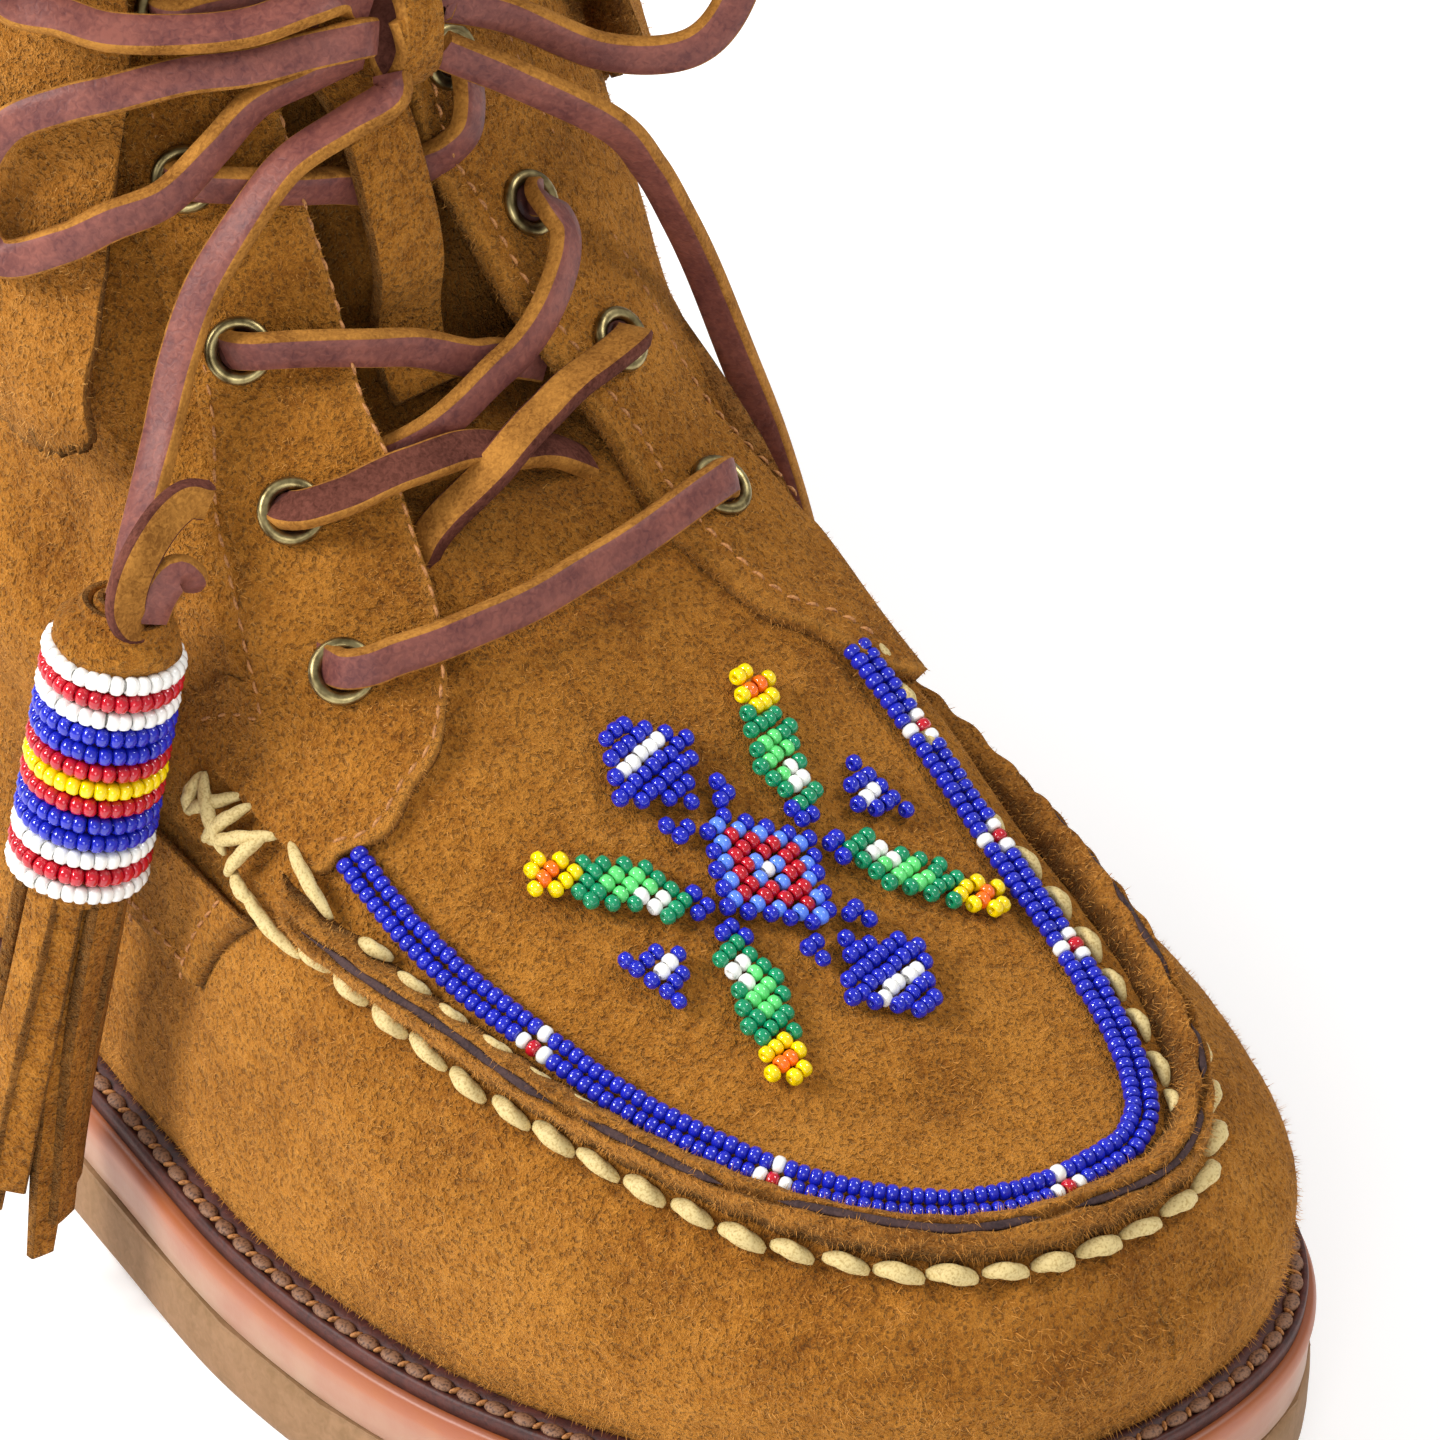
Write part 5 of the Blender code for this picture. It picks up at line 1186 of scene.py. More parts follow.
def make_tongue(sizes):
    levels, share = np.meshgrid(np.linspace(6.25, 11.9, 150), np.linspace(-1, 1, 96), indexing="ij")
    base = tongue_points(levels, share)
    turns = share * table_value(TONGUE_FORM, levels, 1) - 0.03
    vamp = np.clip(upper_forms(bare_skin(levels, turns), levels)[0], -1.3 * MM, LAY * 0.9)
    on_vamp = 1 - ease((levels - 6.9) / 0.5)
    vamp = vamp + 0.14 * MM - 0.5 * MM * (1 - ease((levels - 6.25) / 0.28))
    folds = 0.8 * MM * np.sin(share * 7 + 1.5 * np.sin(levels * 1.7)) * (1 - np.abs(share)) ** 0.5
    folds += noise_field(base, 0.018, 31) * 0.35 * MM + noise_field(base, 0.006, 33) * 0.12 * MM
    grid = tongue_points(levels, share, vamp * on_vamp + np.minimum(folds, 0.25 * MM) * (1 - on_vamp))
    obj = sheet_mesh("tongue_suede", grid, [MADE["suede"], MADE["rough"]],
                     attributes={"shade": 0.30 * (1 - on_vamp)})
    turn_check(obj)
    thicken(obj, 1.8 * MM, 1)
    finish_piece(obj, ["tongue"])
    arch = smooth_curve(KEEPER_ARCH, 12)
    middle = tongue_points(arch[:, 0], np.full(len(arch), -0.02), 1.2 * MM + KEEPER_ROOM * arch[:, 1])
    path = even(middle, 0.5 * MM)
    way = unit(np.gradient(path, axis=0))
    facing = unit(np.cross(np.array([1.0, 0, 0]), way))
    if facing[len(facing) // 2] @ np.array([0, -0.7, 0.6]) < 0:
        facing = -facing
    strap = strip_sweep("keeper_strap", path + facing * 0.9 * MM, facing, 5.0 * MM, 0.85 * MM,
                        [MADE["suede"], MADE["rough"], MADE["lining"]])
    finish_piece(strap, ["tongue_keeper"])


CUFF_HEM = [(0.40, 0.566), (0.87, 0.556), (0.99, 0.551), (1.07, 0.536), (1.25, 0.495), (1.50, 0.480),
            (2.00, 0.520), (3.00, 0.600), (3.40, 0.660), (3.60, 0.690)]
CUFF_FRONT = [(0.550, 0.860, 0.70), (0.584, 0.770, 0.66), (0.619, 0.665, 0.60), (0.662, 0.575, 0.55),
              (0.709, 0.505, 0.51), (0.757, 0.445, 0.48), (0.805, 0.400, 0.46), (1.000, 0.350, 0.41)]


def cuff_points(count, height, lift):
    """Points over the upper at a count of turns and a height, by halving the span of levels."""
    turn = np.where(count <= 2, -count, 4 - count)
    low, high = np.full(turn.shape, 1.5), np.full(turn.shape, float(TOP_LEVEL))
    for _ in range(16):
        middle = (low + high) / 2
        under = bare_skin(middle, turn)[..., 2] < height
        low, high = np.where(under, middle, low), np.where(under, high, middle)
    level = (low + high) / 2
    point = skin(level, turn, lift)
    over = height > bare_skin(np.full(turn.shape, float(TOP_LEVEL)), turn)[..., 2]
    point[..., 2] = np.where(over, height, point[..., 2])
    return point, level, turn


# The hem's length and the pitch of its teeth in millimetres, then how deep they and its sway are
HEM_RUN, TOOTH_PITCH, TOOTH_DEPTH, HEM_SWAY = 330, 1.9, 0.95 * MM, 0.25 * MM


def make_cuff(sizes):
    columns, rows = 560, 60
    base = np.linspace(0, 1, columns)
    top_height = SOLE_TOP + 2.0 * INSTEP_RISE
    hem = top_height * table_value(CUFF_HEM, 0.6 + 2.8 * base, 1)
    teeth = TOOTH_DEPTH * np.abs(((base * HEM_RUN / TOOTH_PITCH) % 1) - 0.5) * 2
    hem = hem + teeth + HEM_SWAY * np.sin(base * 400)
    share = np.linspace(0, 1, rows)[:, None]
    height = hem + (top_height * 0.995 - hem) * share
    low = table_value(CUFF_FRONT, height / top_height, 1)
    high = 4 - table_value(CUFF_FRONT, height / top_height, 2)
    count = low + (high - low) * base[None, :]
    flare = 1.2 * MM + 4.2 * MM * (1 - share) ** 0.8 + 0.5 * MM * np.sin(count * 9) * (1 - share)
    turn = np.where(count <= 2, -count, 4 - count)
    rim = bare_skin(np.full(turn.shape, float(TOP_LEVEL)), turn)[..., 2]
    height = np.where(share > 0.999, rim - 0.6 * MM, np.minimum(height, rim - 0.6 * MM))
    grid, levels, turn = cuff_points(count, height, flare + 2.2 * MM)
    out = skin_axes(levels, turn)[0]
    lift = noise_field(grid, 0.022, 41) * 0.5 * MM + noise_field(grid, 0.007, 43) * 0.12 * MM
    grid = grid + out * np.minimum(lift, 0.3 * MM)[..., None]
    fold = []
    for above, reach in ((1.9 * MM, 2.6 * MM), (2.8 * MM, -1.0 * MM), (1.9 * MM, -4.0 * MM),
                         (-0.6 * MM, -4.8 * MM), (-4.0 * MM, -4.8 * MM), (-8.0 * MM, -4.8 * MM)):
        point = skin(np.full(columns, float(TOP_LEVEL)), turn[-1], np.full(columns, reach))
        point[:, 2] = rim[-1] + above
        fold.append(point)
    grid = np.concatenate([grid, np.array(fold)])
    shade = np.zeros(grid.shape[:2])
    shade[:2] = 0.25
    obj = sheet_mesh("cuff_flap", grid, [MADE["flap"], MADE["rough"]], attributes={"shade": shade})
    turn_check(obj)
    thicken(obj, 1.9 * MM, 1)
    finish_piece(obj, ["cuff"])


# Eyelets


def make_eyelets(sizes):
    outer, bore = 4.1 * MM, 2.45 * MM
    mid, half = (outer + bore) / 2, (outer - bore) / 2
    profile = [(mid + half * math.cos(a), 0.95 * MM * max(0.0, math.sin(a)) ** 0.75)
               for a in np.linspace(0, math.pi, 13)]
    profile += [(bore + 0.05 * MM, -2.2 * MM), (bore + 0.45 * MM, -2.2 * MM), (bore + 0.55 * MM, -0.3 * MM)]
    points, faces = turned_form(profile)
    disc_core, disc_radius, disc_depth = 0.01 * MM, 2.3 * MM, 0.4 * MM
    disc = turned_form([(disc_core, 0.0), (disc_radius, 0.0), (disc_radius, -disc_depth),
                        (disc_core, -disc_depth)], 20)
    for side, places in EYELETS.items():
        for number, (level, turn) in enumerate(places):
            level, turn = np.array([level]), np.array([turn])
            out, up = skin_axes(level, turn)[:2]
            centre = skin(level, turn, FACING_TOP + 0.25 * MM)
            side_way = np.cross(up, out)
            frames = np.stack([centre, side_way, np.cross(out, side_way), out], 1)
            obj = scatter(f"eyelet_ring_{side}_{number + 1}", points, faces, frames, [MADE["brass"]])
            finish_piece(turn_outwards(obj), [f"eyelet_{side}_{number + 1}"])
            # A dark disc of the welt's leather just inside the bore is painted shadow in the eyelet's hole
            frames[:, 0] += out * 0.30 * MM
            hole = scatter(f"eyelet_dark_{side}_{number + 1}", *disc, frames, [MADE["welt"]])
            finish_piece(turn_outwards(hole))


# Laces


LACE_WIDTH = 4.6 * MM
LACE_THICK = 2.1 * MM
EYELET_LIFT = LAY + 1.4 * MM + LAY + 0.9 * MM + 1.4 * MM + 0.6 * MM
STRANDS = {
    # level, turn, share of the height over an eyelet; then how the thong leans and which side shows
    "lace_bar_low": [([(5.86, -0.690, 0.05), (5.86, -0.655, 0.72), (6.02, -0.580, 1.0), (6.30, -0.460, 0.95),
                       (6.60, -0.275, 0.95), (6.78, -0.080, 0.75), (6.84, 0.080, 0.75), (6.82, 0.200, 1.0),
                       (6.74, 0.300, 1.0), (6.68, 0.345, 0.55)], 0.55, 0)],
    "lace_cross_low": [([(7.30, -0.500, 0.05), (7.30, -0.465, 0.75), (7.42, -0.400, 1.0),
                         (7.55, -0.330, 0.95), (7.70, -0.240, 0.90), (7.78, -0.095, 0.50),
                         (7.62, 0.020, 0.15), (7.38, 0.110, -0.35)], -0.45, 2),
                       ([(7.88, 0.245, 0.30), (7.90, 0.215, 0.95), (7.90, 0.140, 1.10), (7.86, 0.055, 1.00),
                         (7.64, -0.055, 0.85), (7.36, -0.190, 0.30), (7.16, -0.250, -0.30)], 0.75, 1)],
    "lace_cross_high": [([(8.46, -0.440, 0.05), (8.46, -0.410, 0.75), (8.50, -0.350, 1.0),
                          (8.52, -0.280, 0.95), (8.50, -0.200, 0.85), (8.44, -0.095, 0.45),
                          (8.26, 0.005, 0.10), (8.06, 0.105, -0.45)], 0.60, 0),
                        ([(8.96, 0.170, 0.30), (8.94, 0.145, 1.0), (8.74, 0.150, 1.25), (8.50, 0.120, 1.15),
                          (8.22, 0.040, 0.80), (7.98, -0.100, 0.30), (7.82, -0.230, -0.36)], -0.50, 0)],
    "lace_bar_keeper": [([(9.64, -0.410, 0.05), (9.64, -0.380, 0.75), (9.64, -0.300, 1.0),
                          (9.60, -0.210, 0.90), (9.54, -0.120, 0.40), (9.46, -0.040, 0.02),
                          (9.46, 0.020, 0.20), (9.56, 0.060, 0.95), (9.76, 0.085, 1.05),
                          (10.00, 0.105, 0.85)], 0.50, 0)],
    "lace_top_lateral": [([(10.70, -0.355, 0.05), (10.70, -0.325, 0.8), (10.76, -0.250, 0.95),
                           (10.72, -0.170, 0.90), (10.62, -0.085, 0.85)], 0.4, 0)],
    "lace_top_medial": [([(10.90, 0.135, 0.30), (10.90, 0.110, 0.9), (10.86, 0.080, 1.0),
                          (10.76, 0.048, 0.85)], -0.4, 0)],
}


def thong(name, path, out, lean, turned_over, nodes, taper=None):
    """A cut leather thong: grain face, golden cut edges and a brown flesh side."""
    way = unit(np.gradient(path, axis=0))
    out = unit(out - way * np.sum(out * way, -1, keepdims=True))
    side = np.cross(way, out)
    lean = np.broadcast_to(np.asarray(lean, float), (len(path),))[:, None]
    facing = out * np.cos(lean) + side * np.sin(lean)
    kinds = [MADE["lace grain"], MADE["lace edge"], MADE["lace back"]]
    if turned_over == 2:
        kinds = [MADE["lace back"], MADE["lace edge"], MADE["lace grain"]]
    if turned_over == 1:
        kinds = [MADE["lace edge"], MADE["lace back"], MADE["lace grain"]]
    obj = strip_sweep(name, path, facing, LACE_WIDTH / 2, LACE_THICK / 2, kinds, taper)
    return finish_piece(obj, nodes, sharp=50)


def make_lace_bars(sizes):
    for name, strands in STRANDS.items():
        for number, (table, lean, over) in enumerate(strands):
            line = even(smooth_curve([(p[0], p[1] * 12, p[2]) for p in table], 24), count=160)
            line[:, 1] /= 12
            path = skin(line[:, 0], line[:, 1], EYELET_LIFT * line[:, 2])
            path = even(smooth_curve(even(path, 3 * MM), 8), 0.4 * MM)
            out = np.stack([np.interp(np.linspace(0, 1, len(path)), np.linspace(0, 1, len(line)), column)
                            for column in skin_axes(line[:, 0], line[:, 1])[0].T], 1)
            swing = lean + 0.12 * np.sin(np.linspace(0, 5, len(path)) + number)
            thong(f"{name}_thong_{number + 1}", path, out, swing, over, [name])


ROUTES = {
    # millimetres: x, y, z; then the lean of the thong at its start, middle and end
    "lace_end_lateral": [
        (-3, -13.5, 146), (-8.5, -12, 143.5), (-16, -10.8, 140.5), (-22.5, -10.8, 135),
        (-27.8, -10, 127.4), (-32.2, -11, 119.7), (-36.5, -13.5, 112.5), (-41, -16.5, 107.5),
        (-45.5, -20, 104.5), (-48, -22, 102)],
    "lace_end_medial": [
        (8, -12.5, 147), (14, -16.9, 143.4), (24, -22.4, 136), (30, -23, 127.8), (35, -23.1, 118.5),
        (40, -22.5, 108.6), (45, -23.5, 95.3), (51, -24.2, 79.6), (56, -25.2, 62.9), (61, -24.7, 44.9),
        (66, -20, 28), (70, -10, 16), (72, 2, 11), (73, 11, 9.8)],
    "lace_loop_long": [
        (-6, -11, 154), (-11.2, -8.5, 153.2), (-17.8, -5.8, 152.2), (-24.2, -1.8, 151.5),
        (-31.5, 2.4, 149.7), (-36, 6.2, 147.9), (-40.2, 10.6, 144.5), (-42.8, 12.6, 139),
        (-44.2, 12, 132.5), (-43.4, 8, 128.6), (-39, 2.2, 131.8), (-34.8, -1.4, 135.2),
        (-28.8, -4.2, 137.6), (-22.6, -5.2, 142.4), (-17, -6, 147), (-11, -8, 149.2), (-5.5, -9, 150.3)],
    "lace_loop_short": [
        (-5.5, -7.5, 158), (-10, -7.5, 158.6), (-17, -5.2, 157.2), (-23.4, -1.6, 156.8),
        (-31, 3.6, 157.4), (-34.8, 8.4, 158.6), (-38, 13.3, 159), (-39.2, 16.4, 163),
        (-35.8, 12.6, 168), (-30, 6.4, 169), (-22, 1.2, 167.4), (-13.5, -4.2, 166.4), (-6, -7.5, 165),
        (0, -8, 162)],
    "lace_loop_right": [
        (8.5, -9.5, 152.5), (16, -12.5, 149.5), (27, -17.5, 142.5), (36, -22.5, 142), (42, -23.4, 147),
        (45, -22, 156), (42, -18, 165), (34, -14, 169.5), (24, -11, 168.5), (15, -10, 164.5),
        (8, -9.5, 159)],
}
LOOK = {
    # lean at the start, middle and end, and which face is outwards
    "lace_end_lateral": (0.5, 0.55, 0.5, 0), "lace_end_medial": (0.5, 0.6, 0.5, 0),
    "lace_loop_long": (-0.3, 0.2, 0.9, 0), "lace_loop_short": (0.4, 0.3, 0.2, 0),
    "lace_loop_right": (0.3, 0.6, 0.8, 0),
}
KNOT_CENTRE = np.array([2.0, -9.0, 151.0]) * MM
KNOT_RADII = 5.25 * MM * np.array([1.0, 0.75, 1.2])
TASSELS = {
    "lateral": ((-49.9, -23.0, 99.0), (-0.165, 0.020, -1.0)),
    "medial": ((72.0, 18.0, 9.6), (0.03, 1.0, -0.010)),
}
CAMERA_PLACE = np.array([-0.6883, -0.8068, 0.8379])
CAMERA_RIGHT = (0.7505, -0.6595, 0.0430)
CAMERA_UP = (0.3686, 0.4717, 0.8010)
CAMERA_BACK = (-0.5485, -0.5853, 0.5971)


def knot_surface(towards):
    way = np.array(towards) - KNOT_CENTRE
    return KNOT_CENTRE + way / np.linalg.norm(way / KNOT_RADII) + unit(way) * 0.75 * MM


def make_cords(sizes):
    """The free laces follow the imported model's own points."""
    extras = {"lace_end_lateral": make_tassel("lateral"), "lace_end_medial": make_tassel("medial")}
    knot = make_knot()
    for name, points in ROUTES.items():
        route = list(np.array(points) * MM)
        route = [knot_surface(route[0])] + route
        if name in extras:
            top, way = TASSELS[name.split("_")[-1]]
            route.append(np.array(top) * MM - unit(np.array(way)) * 1.2 * MM)
        else:
            route.append(knot_surface(route[-1]))
        path = even(smooth_curve(route, 20), 0.55 * MM)
        facing = unit(CAMERA_PLACE - path)
        first, middle, last, over = LOOK[name]
        along = np.linspace(0, 1, len(path))
        lean = np.interp(along, [0, 0.5, 1], [first, middle, last]) + 0.18 * np.sin(along * 9)
        obj = thong(f"{name}_thong", path, facing, lean, over, [name])
        pieces = list(extras.get(name, []))
        if name == "lace_loop_right":
            pieces.append(knot)


def make_knot():
    """The bow's middle: one thong wrapped over the others, with its end tucked behind."""
    turns = np.linspace(-0.2, 1.12, 150) * math.tau
    radius_out, radius_up = 4.6 * MM, 6.3 * MM
    path = np.stack([KNOT_CENTRE[0] + 1.7 * MM * np.sin(turns * 0.5),
                     KNOT_CENTRE[1] - radius_out * np.cos(turns) * 0.85,
                     KNOT_CENTRE[2] + radius_up * np.sin(turns)], 1)
    obj = strip_sweep("lace_knot_wrap", path, path - KNOT_CENTRE, 3.0 * MM, 1.0 * MM,
                      [MADE["suede"], MADE["lace edge"], MADE["lace back"]])
    return finish_piece(obj, ["lace_knot"], sharp=50)


# Tassels


WRAP_ROWS = ["white", "red", "white", "blue", "blue", "red", "yellow", "red", "blue", "blue", "white",
             "red", "white"]


TASSEL_STRIPS, STRIP_LENGTH = 11, 53 * MM
TASSEL_ROLL = [
    # depth and radius in millimetres: a domed head, a waist under the beads, a blunt end
    (0.3, 0.0001), (0.0, 2.6), (0.8, 5.6), (2.4, 7.3), (4.2, 7.7), (5.6, 7.0), (6.4, 6.25), (20, 6.25),
    (36.5, 6.2), (38.5, 5.7), (39.0, 3.0), (38.8, 0.0001)]


def tassel_axes(direction):
    down = unit(np.array(direction, float))
    side = unit(np.cross(down, (0.0, 1.0, 0.2) if abs(down[1]) < 0.8 else (0.0, 0.0, 1.0)))
    return down, side, np.cross(down, side)


def make_tassel(where):
    top, direction = TASSELS[where]
    top = np.array(top) * MM
    down, side, front = tassel_axes(direction)
    wrap_top, wrap_length = 5 * MM, 31.5 * MM
    core, bead = 6.2 * MM, 2.15 * MM
    frames, kinds = [], []
    rng = np.random.default_rng(8)
    for row, colour in enumerate(WRAP_ROWS):
        depth = wrap_top + wrap_length * (row + 0.5) / len(WRAP_ROWS)
        count = 31
        for k in range(count):
            angle = math.tau * (k + 0.5 * (row % 2)) / count + rng.normal(0, 0.012)
            out = side * math.cos(angle) + front * math.sin(angle)
            along = np.cross(down, out)
            tilt = rng.normal(0, 0.05)
            along = along * math.cos(tilt) + down * math.sin(tilt)
            place = top + down * (depth + rng.normal(0, 0.03 * MM)) + out * (core + bead / 2 + 0.25 * MM)
            frames.append([place, out, np.cross(along, out), along])
            kinds.append(BEAD_NAMES.index(colour))
    points, faces = bead_form(bead * 0.56, 1.62 * MM)
    beads = scatter(f"tassel_beads_{where}", points, faces, np.array(frames),
                    [MADE[name] for name in BEAD_NAMES], picks=kinds)
    finish_piece(turn_outwards(beads), [f"bead_wrap_{where}"])
    angles = np.linspace(0, math.tau, 73)
    rows = []
    for depth, radius in TASSEL_ROLL:
        wobble = 1 + 0.04 * np.sin(angles * 3 + depth)
        rows.append(top + down * depth * MM + (side[None] * np.cos(angles)[:, None]
                    + front[None] * np.sin(angles)[:, None]) * (radius * wobble)[:, None] * MM)
    roll = sheet_mesh(f"tassel_roll_{where}", np.array(rows), [MADE["suede"]], closed_round=True)
    finish_piece(turn_outwards(roll), [f"tassel_{where}"])
    # The roll's own spiral, as a strip of suede wound on its end
    spiral = np.linspace(0, 2.4, 200)
    radius = (1.6 + 1.75 * spiral) * MM
    path = (top + down * ((0.2 + 0.35 * spiral) * MM)[:, None]
            + side * (radius * np.cos(spiral * math.tau))[:, None]
            + front * (radius * np.sin(spiral * math.tau))[:, None])
    wound = strip_sweep(f"tassel_spiral_{where}", path, np.tile(-down, (200, 1)), 0.75 * MM, 1.3 * MM,
                        [MADE["rough"], MADE["suede"], MADE["suede"]])
    finish_piece(wound)
    strips = make_curls(where, top) if where == "lateral" else []
    start = wrap_top + wrap_length
    for k in range(TASSEL_STRIPS):
        angle = math.tau * (k + 0.35) / TASSEL_STRIPS + rng.normal(0, 0.10)
        out = side * math.cos(angle) + front * math.sin(angle)
        length = STRIP_LENGTH * (0.90 + 0.10 * math.cos(2.3 * k))
        t = np.linspace(0, 1, 60)
        inner = 3.7 * MM if k % 3 == 0 else 5.0 * MM
        spread = 1.2 * MM * t * (1 if k % 2 else 0.4)
        twist = rng.uniform(-0.5, 0.5) * t
        sway = np.cross(down, out) * (rng.uniform(-1.6, 1.6) * MM * t ** 2)[:, None]
        path = (top + down * (start - 4 * MM + (length + 4 * MM) * t)[:, None]
                + out * (inner + spread)[:, None])
        path = path + sway + out * (0.5 * MM * np.sin(t * 5 + k))[:, None]
        away = out[None] * np.cos(twist)[:, None] + np.cross(down, out)[None] * np.sin(twist)[:, None]
        strip = strip_sweep(f"tassel_strip_{where}_{k + 1}", path, away, 2.35 * MM, 0.85 * MM,
                            [MADE["suede"], MADE["rough"], MADE["lining"]],
                            taper=1.0 - 0.25 * np.clip((t - 0.8) / 0.2, 0, 1) * (k % 2))
        finish_piece(strip)
        strips.append(strip)
    return [beads, roll, wound] + strips


CURLS = {
    # millimetres from the tassel's top, as the thong is knotted there: a cut end that curls over the
    # lace, and a short pointed tail
    "curl": ([(9.5, -3.4, 13.0), (7.0, -3.0, 13.9), (3.6, -3.4, 13.2), (0.0, -4.2, 11.0), (-2.6, -4.8, 8.0),
              (-3.6, -5.0, 4.6), (-2.6, -4.6, 1.6), (-0.6, -3.6, -0.4)], -0.5),
    "tail": ([(0.2, -4.6, 1.0), (0.8, -5.6, 4.6), (2.4, -6.2, 7.0), (4.6, -6.0, 5.6), (6.6, -5.6, 2.6)],
             0.5),
}


def make_curls(where, top):
    made = []
    for name, (points, lean) in CURLS.items():
        path = even(smooth_curve(top + np.array(points) * MM, 20), 0.4 * MM)
        share = np.linspace(0, 1, len(path))
        taper = 1 - 0.75 * np.clip((share - 0.8) / 0.2, 0, 1) if name == "tail" else np.ones(len(path))
        made.append(thong(f"tassel_{name}_{where}", path, unit(CAMERA_PLACE - path), lean, 1 if name == "curl"
                          else 0, [], taper))
    return made


# Seed beads on the vamp


def lane_beads():
    """Two rows of beads sewn along the seam's inner side, with a small accent at six places."""
    line = smooth_curve(BEAD_LANE, 40)
    centre = skin(line[:, 0], line[:, 1])
    run = run_along(centre)
    length, pitch = run[-1], 1.52 * MM
    count = int(length / pitch)
    at = (np.arange(count) + 0.5) * length / count
    places = pick(centre, run, at)
    out = unit(pick(skin_axes(line[:, 0], line[:, 1])[0], run, at))
    along = unit(np.gradient(places, axis=0))
    side = np.cross(out, along)
    accents = [int(round(share * count)) for share in LANE_ACCENTS]
    frames, kinds = [], []
    rng = np.random.default_rng(12)
    for row, offset in ((1, -1.08 * MM), (0, 1.08 * MM)):
        for k in range(count):
            colour = "blue"
            for accent in accents:
                if row == 1 and k in (accent - 1, accent + 1):
                    colour = "white"
                elif row == 1 and k == accent:
                    colour = "red"
                elif row == 0 and k == accent:
                    colour = "white"
            tilt = rng.normal(0, 0.05)
            way = unit(along[k] + side[k] * tilt)
            place = places[k] + side[k] * (offset + rng.normal(0, 0.05 * MM))
            place = place + out[k] * (1.05 * MM + LAY + rng.normal(0, 0.04 * MM))
            frames.append([place, np.cross(out[k], way), out[k], way])
            kinds.append(BEAD_NAMES.index(colour))
    return np.array(frames), kinds


# Half of each row of the stepped rosette, from its middle outwards, from the toe's side backwards:
# b blue, s sky, w white, r red, y yellow, e emerald, g light green, o orange, . bare suede
ROSETTE = [
    "bb.............",
    "bbb............",
    "wwwb........yy.",
    "bbbbb......yooy",
    "bbbb......eyyy.",
    "bb.......eeee..",
    "b..b....eggee..",
    "..bb...eggge...",
    "sb.....egwe....",
    "rsb....eww.....",
    "rrsb..beee....b",
    "srrsb.bb....bbb",
    "wsrrsb.....bwwb",
    "srrsb.bb....bbb",
    "rrsb..beee....b",
    "rsb....eww.....",
    "sb.....egwe....",
    "..bb...eggge...",
    "b..b....eggee..",
    "bb.......eeee..",
    "bbbb......eyyy.",
    "bbbbb......yooy",
    "wwwb........yy.",
    "bbb............",
    "bb.............",
]
CODES = {"b": "blue", "s": "sky", "w": "white", "r": "red", "y": "yellow", "e": "emerald", "g": "green",
         "o": "orange"}


def rosette_beads():
    """A plain stepped rosette with four leaves, laid out on the vamp in rows across the foot."""
    apron = Apron()
    centre_along = float(np.interp(0.0815, -apron.middle[:, 1], apron.run))
    across, along, kinds = [], [], []
    cell, row_pitch = 1.58 * MM, 2.02 * MM
    for row, text in enumerate(ROSETTE):
        shift = (len(ROSETTE) / 2 - 0.5 - row) * row_pitch
        for k, code in enumerate(text):
            if code == ".":
                continue
            for way in ((1, -1) if k else (1,)):
                across.append(way * k * cell)
                along.append(centre_along + shift)
                kinds.append(BEAD_NAMES.index(CODES[code]))
    across, along = np.array(across), np.array(along)
    turned = -0.16
    x = across * math.cos(turned) - (along - centre_along) * math.sin(turned)
    y = across * math.sin(turned) + (along - centre_along) * math.cos(turned) + centre_along
    level, turn = apron.place(x * 0.94 - 4.6 * MM, y)
    out = skin_axes(level, turn)[0]
    rng = np.random.default_rng(15)
    axis = np.array([math.cos(turned), -math.sin(turned) * 0.8, math.sin(turned) * 0.5])
    axis = unit(axis - out * (out @ axis)[:, None])
    axis = unit(axis + np.cross(out, axis) * rng.normal(0, 0.06, (len(out), 1)))
    places = skin(level, turn, 1.05 * MM + LAY) + rng.normal(0, 0.05 * MM, (len(out), 3))
    frames = np.stack([places, np.cross(out, axis), out, axis], 1)
    return frames, kinds


def make_beads(sizes):
    points, faces = bead_form(1.08 * MM, 1.46 * MM)
    glass = [MADE[name] for name in BEAD_NAMES]
    for name, (frames, kinds) in (("bead_lane", lane_beads()), ("bead_rosette", rosette_beads())):
        rng = np.random.default_rng(19)
        frames = frames.copy()
        frames[:, 1:] *= rng.uniform(0.95, 1.05, (len(frames), 1, 1)) * sizes.bead_scale
        beads = scatter(name, points, faces, frames, glass, picks=kinds)
        finish_piece(turn_outwards(beads))


# Nap


NAP = [
    # piece, share of the fibres, length as a share
    ("upper_suede", 0.60, 1.0), ("facing_suede_lateral", 0.10, 0.9), ("facing_suede_medial", 0.08, 0.9),
    ("cuff_flap", 0.12, 1.2), ("seam_roll", 0.06, 0.9), ("tongue_suede", 0.04, 1.0),
]


# Fibre length and half width in millimetres, how steeply a fibre stands, and the rear, which has fewer
FIBRE_LENGTH, FIBRE_WIDTH, FIBRE_RISE = (0.45, 1.15), (0.03, 0.06), (0.25, 0.95)
NAP_REAR, NAP_REAR_SHARE = 0.035, 0.25


